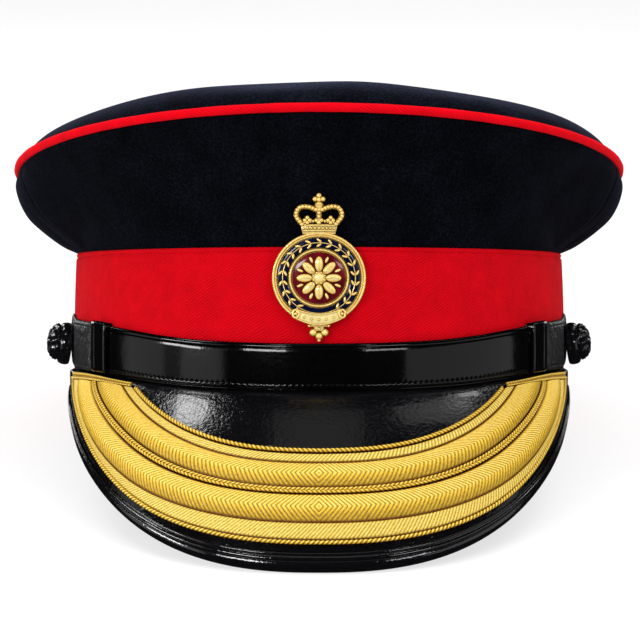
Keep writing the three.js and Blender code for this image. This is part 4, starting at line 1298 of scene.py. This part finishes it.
class FORAGECAP_OT_keepers(bpy.types.Operator):
    """Leather loops that the strap's ends pass through"""
    bl_idname = "forage_cap.keepers"
    bl_label = "Keepers"

    def execute(self, context):
        reach = STRAP_THICKNESS + STRAP_GAP
        half_turn = KEEPER_LENGTH / 2 / BAND_HALF_LENGTH
        stations = np.array(KEEPER_STATIONS)
        # The outer side of the loop rolls down to the strap, behind a raised stitched line
        roll = np.clip((stations - KEEPER_LINE) / (1 - KEEPER_LINE), 0, 1)
        rolled = (EDGE_DEPTH * np.exp(-(1 - np.abs(stations)) / 0.045)
                  + ROLL_DEPTH * (1 - np.sqrt(1 - roll ** 2))
                  - LINE_HEIGHT * bump(stations, KEEPER_LINE, 0.07))
        for name, side in SIDES:
            angle = side * (KEEPER_ANGLE + half_turn * stations)
            edge = trim_height(angle, "half") + GAP
            middle = trim_height(angle, "middle")
            points = np.stack([
                band_face(angle, middle + edge * share + up,
                          GAP + reach * reach_share + off - follow * rolled)
                for share, up, reach_share, off, follow in KEEPER_SECTION + KEEPER_SECTION[:1]], 1)
            piece = lay_grid(f"keeper_{name}_leather", points, close_ends=True)
            apply_modifier(piece, "SUBSURF", levels=1, render_levels=1)
            smooth_to(60)
            finish_piece(piece, f"keeper_{name}",
                         patent("keeper", 0.35, 0.09, 0.1))
        return {"FINISHED"}


# Buttons

# Half section of a button: distance from its axis, and height over the strap
BUTTON_SECTION = (
    (0.0, -0.2), (5.8, -0.2), (6.7, -0.1), (7.0, 0.2), (7.15, 0.7), (7.2, 1.4), (7.1, 2.1),
    (6.85, 2.75), (6.5, 3.15), (6.15, 3.32), (5.95, 3.38), (5.9, 3.46), (6.0, 3.56), (6.15, 3.75),
    (6.15, 4.05), (6.05, 4.4), (5.85, 4.8), (5.55, 5.2), (5.15, 5.57), (4.65, 5.92), (4.05, 6.22),
    (3.35, 6.46), (2.6, 6.68), (1.8, 6.85), (1.0, 6.95), (0.4, 6.99), (0.0, 7.0),
)
BUTTON_RADIUS = 7.15
# Leaves carved on the dome: how many lie round it, and how far they stand out and up
LEAVES_ROUND, LEAF_SPREAD, LEAF_RISE = 10, 0.055, 0.25
DOME_STRETCH = 1.12
# Heights in the section where the dome's leaves begin and where its collar ends. The collar
# sags under the dome by this much.
LEAVES_FROM, COLLAR_TOP, COLLAR_SAG = 3.6, 3.25, 0.4


class FORAGECAP_OT_buttons(bpy.types.Operator):
    """Ball buttons that hold the strap's ends"""
    bl_idname = "forage_cap.buttons"
    bl_label = "Buttons"

    def execute(self, context):
        leather = context.scene.cap_leather
        black = finish("button_black", button_finish, shade(leather.black, 1.3))
        radius, out = np.array(BUTTON_SECTION).T[:, None, :]
        turn = full_turn(96)[:, None]
        # Raised leaves over the dome, in three rows that stagger
        dome = smooth_step((out - LEAVES_FROM) / 0.3) * smooth_step(radius / 0.8)
        leaves = np.sin(LEAVES_ROUND * turn + 2.6 * out) * np.sin(3.6 * out + 0.5)
        grow = radius * (1 + LEAF_SPREAD * dome * leaves)
        lift = out * DOME_STRETCH + LEAF_RISE * dome * leaves
        sag = COLLAR_SAG * (1 - smooth_step((out - COLLAR_TOP) / 0.3))
        upright = np.array([0, 0, 1.0])
        tip, level = math.sin(BUTTON_TILT), math.cos(BUTTON_TILT)
        for name, side in SIDES:
            seat = band_face(np.array(side * BUTTON_ANGLE), np.array(BUTTON_HEIGHT),
                             STRAP_GAP + GAP + STRAP_THICKNESS - TAB_PRESSED)
            # The button's axis stands square to the band and tips up a little
            square = unit(np.array([side * BAND_HALF_LENGTH * math.sin(BUTTON_ANGLE),
                                    -BAND_HALF_WIDTH * math.cos(BUTTON_ANGLE), 0]))
            axis = square * level + upright * tip
            rise = upright * level - square * tip
            seat = seat + square * BUTTON_RADIUS * tip * 0.7
            points = (seat + (lift + 0 * turn)[..., None] * axis
                      + (grow * np.cos(turn))[..., None] * np.cross(axis, rise)
                      + (grow * np.sin(turn) - sag)[..., None] * rise)
            cover(f"button_{name}_dome", points, f"button_{name}", "black_button", black)
        return {"FINISHED"}


# Badge

def bend_onto_front(points):
    """Flat badge millimetres, x across, y up and z outwards, to where the badge sits."""
    x, y, z = points[..., 0], points[..., 1], points[..., 2]
    lean = BADGE_LEAN * np.maximum(0, y + RING_OUTER / 2)
    turn = x / BADGE_CURVE
    radius = BADGE_CURVE + z + BADGE_STANDOFF
    return set_down(np.stack([
        radius * np.sin(turn), BADGE_CURVE - BAND_HALF_LENGTH - lean - radius * np.cos(turn),
        BADGE_CENTRE_HEIGHT + y], -1))


def as_drawn(points):
    return points


def turned(profile, steps=96):
    """A ring or disc turned round the badge's middle from its half section."""
    out, up = np.array(profile, float).T[:, None, :]
    turn = full_turn(steps)[:, None]
    points = np.stack([out * np.cos(turn), out * np.sin(turn), up + 0 * turn], -1)
    return lay_grid("turned", points, ready=as_drawn)


def weld(parts):
    """Joins parts into one piece."""
    clear_selection()
    for part in parts:
        part.select_set(True)
    bpy.context.view_layer.objects.active = parts[0]
    if len(parts) > 1:
        bpy.ops.object.join()
    return parts[0]


def beads(places, radius, stretch=(1, 1, 1), turns=None, segments=12):
    """The same bead at many places: one sphere, copied, then joined into one piece."""
    made = []
    for number, (x, y, z) in enumerate(places):
        clear_selection()
        bpy.ops.mesh.primitive_uv_sphere_add(segments=segments, ring_count=segments // 2 + 2,
                                             radius=radius)
        bead = bpy.context.object
        bpy.ops.transform.resize(value=stretch)
        bpy.ops.object.transform_apply(location=False, rotation=False, scale=True)
        if turns is not None:
            bead.rotation_euler = (0, 0, turns[number])
        bead.location = (x, y, z)
        bpy.ops.object.transform_apply(location=True, rotation=True, scale=True)
        made.append(bead)
    return weld(made)


def ring_of_beads(turns, out, height, *bead):
    """Beads round the badge's middle, at those angles and that far out."""
    return beads([(out * math.cos(t), out * math.sin(t), height) for t in turns], *bead)


def plate(outline, low, high, bevel=0.15):
    """A flat plate with that outline: a filled circle primitive, extruded and bevelled."""
    clear_selection()
    bpy.ops.mesh.primitive_circle_add(vertices=len(outline), radius=1, fill_type="NGON")
    piece = bpy.context.object
    for vertex, (x, y) in zip(piece.data.vertices, outline):
        vertex.co = (x, y, low)
    bpy.ops.object.mode_set(mode="EDIT")
    bpy.ops.mesh.select_all(action="SELECT")
    bpy.ops.mesh.extrude_region_move(TRANSFORM_OT_translate={"value": (0, 0, high - low)})
    face_outwards()
    bpy.ops.object.mode_set(mode="OBJECT")
    apply_modifier(piece, "BEVEL", width=bevel, segments=2, limit_method="ANGLE",
                   angle_limit=math.radians(40))
    return piece


def curve_through(points, count):
    """A smooth line through the points, cut into evenly spaced places."""
    last = len(points) - 1
    dense = np.linspace(0, last, 24 * last + 1)
    line = np.stack([smooth_through(np.arange(last + 1), column, dense)
                     for column in np.array(points, float).T], -1)
    length = path_lengths(line)
    at = np.linspace(0, length[-1], count)
    return np.stack([np.interp(at, length, line[:, k]) for k in range(3)], -1)


def bar(points, radius, sides=8):
    """A round bar along a line of places."""
    points = np.array(points, float)
    ahead = unit(np.gradient(points, axis=0))
    across = unit(np.cross(ahead, np.array([0, 0, 1.0])))
    rings = tube(points, across, np.cross(across, ahead), radius, full_turn(sides)[None, :])
    return lay_grid("bar", rings, ready=as_drawn, close_ends=True)


def seat_badge(parts, name, node, material):
    """Joins parts that were drawn flat, and bends them onto the front of the cap."""
    piece = rename(weld(parts), name)
    mesh = piece.data
    # How squarely each place faced forward goes into the finish, as painted highlight in front and
    # painted shade on the sides
    keep_relief(mesh, np.abs(places_of(mesh, "normal")[:, 2]) ** 1.5)
    seated = bend_onto_front(places_of(mesh).astype(float))
    mesh.vertices.foreach_set("co", seated.astype(np.float32).ravel())
    mesh.update()
    pick(piece)
    bpy.ops.object.mode_set(mode="EDIT")
    face_outwards()
    bpy.ops.object.mode_set(mode="OBJECT")
    smooth_to(45)
    finish_piece(piece, node, material)


# Half sections of the badge's turned parts: distance from its middle, and height
PLATE_SECTION = (
    (0, 0), (14.1, 0), (14.35, 0.25), (14.4, 1.2), (14.32, 1.6), (14.1, 1.9), (13.85, 1.98),
    (13.6, 1.85), (13.48, 1.6), (13.4, 1.45), (13.3, 1.62), (13.12, 1.72), (12.95, 1.6),
    (12.88, 1.3), (12.85, 0.95), (9.25, 0.95), (9.2, 1.5), (9.05, 1.85), (8.8, 1.98),
    (8.55, 1.85), (8.4, 1.5), (8.35, 0.95), (0, 0.95),
)
STEM_SECTION = ((11.16, 1.6), (11.14, 1.86), (11.02, 1.92), (10.9, 1.86), (10.88, 1.6))
RING_SECTION = (
    (12.6, 1.2), (12.6, 1.45), (12.45, 1.6), (11.6, 1.7), (10.4, 1.7), (9.6, 1.6), (9.45, 1.45),
    (9.45, 1.2), (12.6, 1.2),
)
CENTRE_SECTION = (
    (0, 1.2), (8.1, 1.2), (8.1, 1.4), (7.9, 1.52), (6.0, 1.6), (3.0, 1.64), (0, 1.65))
BOSS_SECTION = ((0, 1.9), (2.0, 1.9), (2.0, 2.6), (1.5, 2.9), (1.1, 3.05), (0.6, 3.25), (0, 3.3))
LEAF_PAIRS = 22
STEM_RADIUS = 11.02
SCROLL_HALF = 6.9
PETALS = 8


def wreath():
    """Leaves on both sides of a stem, open where the scroll lies."""
    turns = [(i + 0.5) / LEAF_PAIRS * 2 * math.pi for i in range(LEAF_PAIRS)]
    turns = [t for t in turns if abs(t - 1.5 * math.pi) > 0.5]
    leaves = [ring_of_beads(turns, STEM_RADIUS + side * 0.75, 1.72, 1.0, (0.98, 0.4, 0.34),
                            [t + math.pi / 2 - side * 0.62 for t in turns], 10)
              for side in (-1, 1)]
    return [*leaves, turned(STEM_SECTION, 72)]


def small_crown():
    """Circlet with borders, studs and flowers, and arches strung with pearls up to an orb."""
    foot = CROWN_FOOT

    def over_foot(*places):
        return [(x, foot + y, z) for x, y, z in places]

    parts = [plate([(-4.9, foot), (4.9, foot), (5.7, foot + 3.3), (-5.7, foot + 3.3)], 0.2, 1.7)]
    for height, wide in ((0.35, 4.95), (1.15, 5.1), (2.75, 5.45)):
        parts.append(bar([(x, foot + height + 0.12 * math.cos(x / 3), 1.75)
                          for x in np.linspace(-wide, wide, 15)], 0.28))
    for side in (-1, 1):
        arch = curve_through(over_foot(
            (side * 5.1, 3.2, 1.2), (side * 6.9, 5.9, 1.3), (side * 5.9, 8.3, 1.4),
            (side * 3.2, 8.6, 1.5), (0, 7.3, 1.6)), 13)
        parts += [bar(arch, 0.85), beads(arch + np.array([0, 0, 0.6]), 0.72)]
    post = curve_through(over_foot((0, 3.0, 1.2), (0, 5.4, 1.3), (0, 7.6, 1.5)), 6)
    belt = [(1.42 * math.cos(a), foot + 9.15, 1.5 + 1.42 * math.sin(a))
            for a in np.linspace(0.1, math.pi - 0.1, 13)]
    parts += [bar(post, 0.9), bar(belt, 0.2, 6)]
    studs = [(x, 1.95, 1.75) for x in np.linspace(-4.6, 4.6, 9)]
    points = [(x, 3.9 + 0.35 * math.cos(x / 2.2), 1.55)
              for x in (-5.3, -4.4, -2.6, -1.75, 1.75, 2.6, 4.4, 5.3)]
    flowers = [place for x in (-3.5, 0, 3.5)
               for place in ((x - 0.75, 4.4, 1.6), (x + 0.75, 4.4, 1.6), (x, 3.7, 1.7),
                             (x, 5.2, 1.6))]
    pearls = [(0, height, 2.15) for height in (5.6, 6.7, 7.7)]
    trefoil = [(-1.15, 11.0, 1.5), (1.15, 11.0, 1.5), (0, 12.1, 1.5), (0, 10.8, 1.7)]
    parts += [beads(over_foot(*places), radius) for places, radius in (
        (studs, 0.46), (points, 0.5), (flowers, 0.72), (pearls, 0.7), (trefoil, 0.88))]
    return [*parts, beads(over_foot((0, 9.0, 1.5)), 1.4, segments=20)]


def scroll():
    """Plain ribbon with raised edges, studs and curled ends."""
    def wave(y, depth, across):
        return [(x, y - depth * math.cos(x / SCROLL_HALF * 1.4)) for x in across]

    across = np.linspace(-SCROLL_HALF, SCROLL_HALF, 15)
    upper, lower = wave(-9.1, 1.9, across), wave(-12.5, 2.4, across)
    parts = [plate(upper + lower[::-1], 1.5, 2.65, 0.2)]
    for line, shift in ((upper, -0.35), (lower, 0.35)):
        parts.append(bar([(x, y + shift, 2.68) for x, y in line], 0.26))
    studs = wave(-10.95, 2.1, (-4.4, -2.2, 0, 2.2, 4.4))
    parts.append(beads([(x, y, 2.62) for x, y in studs], 0.42))
    for side in (-1, 1):
        curl = [(side * (SCROLL_HALF + 0.95 * math.cos(a)), -11.15 + 1.25 * math.sin(a), 2.55)
                for a in full_turn(16)]
        parts += [bar(curl, 0.42), beads([(side * SCROLL_HALF, -11.15, 2.5)], 0.62)]
    return parts


def pendant():
    return [
        plate([(-1.5, -16.6), (1.5, -16.6), (1.25, -13.6), (-1.25, -13.6)], 0.3, 1.8),
        bar([(x, -14.9, 1.7) for x in np.linspace(-2.6, 2.6, 5)], 0.42),
        beads([(0, -15.9, 1.9), (-2.9, -14.9, 1.6), (2.9, -14.9, 1.6)], 0.55),
        beads([(-1.75, -17.0, 1.3), (1.75, -17.0, 1.3), (0, -18.1, 1.3)], 1.25, segments=16),
        beads([(0, -19.4, 1.3)], 0.62),
    ]


class FORAGECAP_OT_badge_frame(bpy.types.Operator):
    """Gilt ring, small crown, scroll and pendant of the badge"""
    bl_idname = "forage_cap.badge_frame"
    bl_label = "Badge Frame"

    def execute(self, context):
        gilt = finish("gilt_metal", gilt_finish, context.scene.cap_badge.gilt)
        parts = [turned(PLATE_SECTION), *wreath(), *small_crown(), *scroll(), *pendant()]
        seat_badge(parts, "badge_gilt", "badge_frame", gilt)
        return {"FINISHED"}


class FORAGECAP_OT_badge_enamel(bpy.types.Operator):
    """Blue ring and red centre of the badge"""
    bl_idname = "forage_cap.badge_enamel"
    bl_label = "Badge Enamel"

    def execute(self, context):
        badge = context.scene.cap_badge
        for place, section, colour, tint in (("ring", RING_SECTION, "blue", badge.blue),
                                             ("centre", CENTRE_SECTION, "red", badge.red)):
            seat_badge([turned(section)], f"badge_{place}_enamel", f"badge_{place}",
                       finish(f"enamel_{colour}", enamel_finish, tint))
        return {"FINISHED"}


class FORAGECAP_OT_badge_rosette(bpy.types.Operator):
    """Gilt rosette in the middle of the badge"""
    bl_idname = "forage_cap.badge_rosette"
    bl_label = "Badge Rosette"

    def execute(self, context):
        gilt = finish("gilt_metal", gilt_finish, context.scene.cap_badge.gilt)
        turns = [i / PETALS * 2 * math.pi for i in range(PETALS)]
        between = [t + math.pi / PETALS for t in turns]
        parts = [
            ring_of_beads(turns, 4.3, 2.2, 1.0, (2.5, 1.3, 0.75), turns, 18),
            ring_of_beads(turns, 4.2, 2.8, 1.0, (1.9, 0.24, 0.3), turns, 10),
            ring_of_beads(between, 6.1, 2.0, 1.0, (1.1, 0.5, 0.42), between, 10),
            ring_of_beads(between, 1.75, 2.85, 0.42),
            turned(BOSS_SECTION, 32),
        ]
        seat_badge(parts, "badge_rosette_gilt", "badge_rosette", gilt)
        return {"FINISHED"}


# Stage

# Lights hang at this distance from a place over the floor's middle, at which they aim
LIGHT_DISTANCE = 1.2
AIM_HEIGHT = 0.05
FLOOR_COLOUR, FLOOR_GLOW = (0.28, 0.28, 0.28), 0.7
OVERHEAD_SIZE, OVERHEAD_POWER = 1.6, 11
# Degrees round from the front and above the floor, width and height in metres, power in watts
LIGHTS = {
    "left_key": (-118, 54, 0.32, 0.2, 1.8),
    "left_softbox": (-46, 36, 1.4, 0.62, 0.5),
    "left_strip_back": (-71, 11.5, 0.46, 0.14, 2.9),
    "left_strip_front": (-28, 20, 0.42, 0.16, 2.7),
    "left_sparkle": (-35, 62, 0.12, 0.12, 0.45),
    "right_sparkle": (40, 60, 0.1, 0.1, 0.25),
    "left_rim": (-148, 30, 0.3, 0.25, 1.0),
    "right_key": (134, 46, 0.16, 0.12, 0.3),
    "right_softbox": (66, 60, 1.2, 0.7, 4.0),
    "right_strip": (35, 20.5, 0.4, 0.14, 1.0),
    "right_rim": (148, 28, 0.25, 0.2, 0.5),
}
PANELS = {
    "top_panel": (0, 82, 0.5, 0.92, 0.35),
    "right_sheen": (124, 58, 0.4, 0.5, 0.4),
    "left_panel_back": (-92, 3, 0.51, 0.6, 0.3),
    "left_panel": (-76, 3, 1.1, 0.62, 0.3),
    "left_panel_front": (-59, 3, 0.47, 0.6, 0.38),
    "right_panel": (73, 3, 1.4, 0.6, 1.1),
    "left_end": (-150, 4, 0.4, 0.4, 1.1),
    "right_end": (150, 4, 0.4, 0.4, 0.7),
}
# Wide lights that aren't mirrored in the lacquer
UNSEEN_LIGHTS = ("left_softbox", "right_softbox", "overhead")
FLOOR_SIZE = 60
SENSOR_WIDTH = 36
PHOTO_WIDTH = 640


def soft_light(name, place, width, height, power):
    clear_selection()
    bpy.ops.object.light_add(type="AREA", location=place)
    light = bpy.context.object
    light.name = name
    light.data.shape = "RECTANGLE"
    light.data.size, light.data.size_y = width, height
    light.data.energy = power
    aim = Vector((0, 0, AIM_HEIGHT)) - Vector(place)
    light.rotation_euler = aim.to_track_quat("-Z", "Y").to_euler()
    light.visible_glossy = name not in UNSEEN_LIGHTS


def hang_lights(table, share):
    for name, (azimuth, elevation, width, height, power) in table.items():
        turn, up = math.radians(azimuth), math.radians(elevation)
        level = LIGHT_DISTANCE * math.cos(up)
        place = (level * math.sin(turn), -level * math.cos(turn),
                 LIGHT_DISTANCE * math.sin(up) + AIM_HEIGHT)
        soft_light(name, place, width, height, power * share)


def light_sky(scene, colour, gloss):
    """Even light from all round, of which little shows in glossy surfaces."""
    world = bpy.data.worlds.get("World") or bpy.data.worlds.new("World")
    scene.world = world
    world.use_nodes = True
    nodes, links = world.node_tree.nodes, world.node_tree.links
    background = nodes["Background"]
    background.inputs["Color"].default_value = paint(colour)
    strength = nodes.new("ShaderNodeMapRange")
    strength.inputs["To Min"].default_value = 1.0
    strength.inputs["To Max"].default_value = gloss
    links.new(nodes.new("ShaderNodeLightPath").outputs["Is Glossy Ray"],
              strength.inputs["Value"])
    links.new(strength.outputs["Result"], background.inputs["Strength"])


class FORAGECAP_OT_stage(bpy.types.Operator):
    """Pale floor, soft lights and the camera"""
    bl_idname = "forage_cap.stage"
    bl_label = "Stage"

    def execute(self, context):
        scene = context.scene
        studio = scene.cap_studio
        clear_selection()
        bpy.ops.mesh.primitive_plane_add(size=FLOOR_SIZE, location=(0, 0, 0))
        floor = context.object
        floor.name = "floor"
        floor.data.materials.append(floor_finish("pale_floor", FLOOR_COLOUR, FLOOR_GLOW))
        # The floor lights the cap but isn't mirrored in it, as with a light table
        floor.visible_glossy = False
        hang_lights(LIGHTS, studio.light_power)
        soft_light("overhead", (0, -0.1, 1.5), OVERHEAD_SIZE, OVERHEAD_SIZE,
                   OVERHEAD_POWER * studio.light_power)
        hang_lights(PANELS, studio.panel_power)
        light_sky(scene, studio.sky, studio.sky_gloss)
        scene.view_settings.view_transform = "Standard"
        eye = set_down(np.array([0, -studio.distance * 1000, studio.height * 1000]))
        clear_selection()
        bpy.ops.object.camera_add(location=tuple(eye))
        camera = context.object
        camera.name = "camera"
        camera.rotation_euler = Vector(tuple(BACK)).to_track_quat("-Z", "Y").to_euler()
        camera.data.lens = studio.lens
        camera.data.sensor_width = SENSOR_WIDTH
        camera.data.shift_x, camera.data.shift_y = 1 / PHOTO_WIDTH, -1 / PHOTO_WIDTH
        scene.camera = camera
        return {"FINISHED"}


# Panel and main

PIECES = (
    FORAGECAP_OT_stage, FORAGECAP_OT_crown_side, FORAGECAP_OT_crown_top, FORAGECAP_OT_piping,
    FORAGECAP_OT_band, FORAGECAP_OT_peak, FORAGECAP_OT_binding, FORAGECAP_OT_lace_bars,
    FORAGECAP_OT_lace_strips, FORAGECAP_OT_lace_cords, FORAGECAP_OT_lace_ends,
    FORAGECAP_OT_strap, FORAGECAP_OT_keepers, FORAGECAP_OT_buttons, FORAGECAP_OT_badge_frame,
    FORAGECAP_OT_badge_enamel, FORAGECAP_OT_badge_rosette,
)


class FORAGECAP_PT_pieces(bpy.types.Panel):
    """Lists the cap's pieces and settings"""
    bl_idname = "FORAGECAP_PT_pieces"
    bl_label = "Forage Cap"
    bl_space_type = "VIEW_3D"
    bl_region_type = "UI"
    bl_category = "Forage Cap"

    def draw(self, context):
        for name, group in SETTINGS.items():
            box = self.layout.box()
            for key in group.__annotations__:
                box.prop(getattr(context.scene, name), key)
        column = self.layout.column()
        for operator in PIECES:
            column.operator(operator.bl_idname)


def register():
    for group in SETTINGS.values():
        bpy.utils.register_class(group)
    for name, group in SETTINGS.items():
        setattr(bpy.types.Scene, name, bpy.props.PointerProperty(type=group))
    for operator in PIECES:
        bpy.utils.register_class(operator)
    bpy.utils.register_class(FORAGECAP_PT_pieces)


def unregister():
    bpy.utils.unregister_class(FORAGECAP_PT_pieces)
    for operator in reversed(PIECES):
        bpy.utils.unregister_class(operator)
    for name in SETTINGS:
        delattr(bpy.types.Scene, name)
    for group in SETTINGS.values():
        bpy.utils.unregister_class(group)


def main():
    register()
    for operator in PIECES:
        family, action = operator.bl_idname.split(".")
        if getattr(getattr(bpy.ops, family), action)() != {"FINISHED"}:
            raise RuntimeError(f"{operator.bl_label} was not finished")
    clear_selection()


if __name__ == "__main__":
    main()
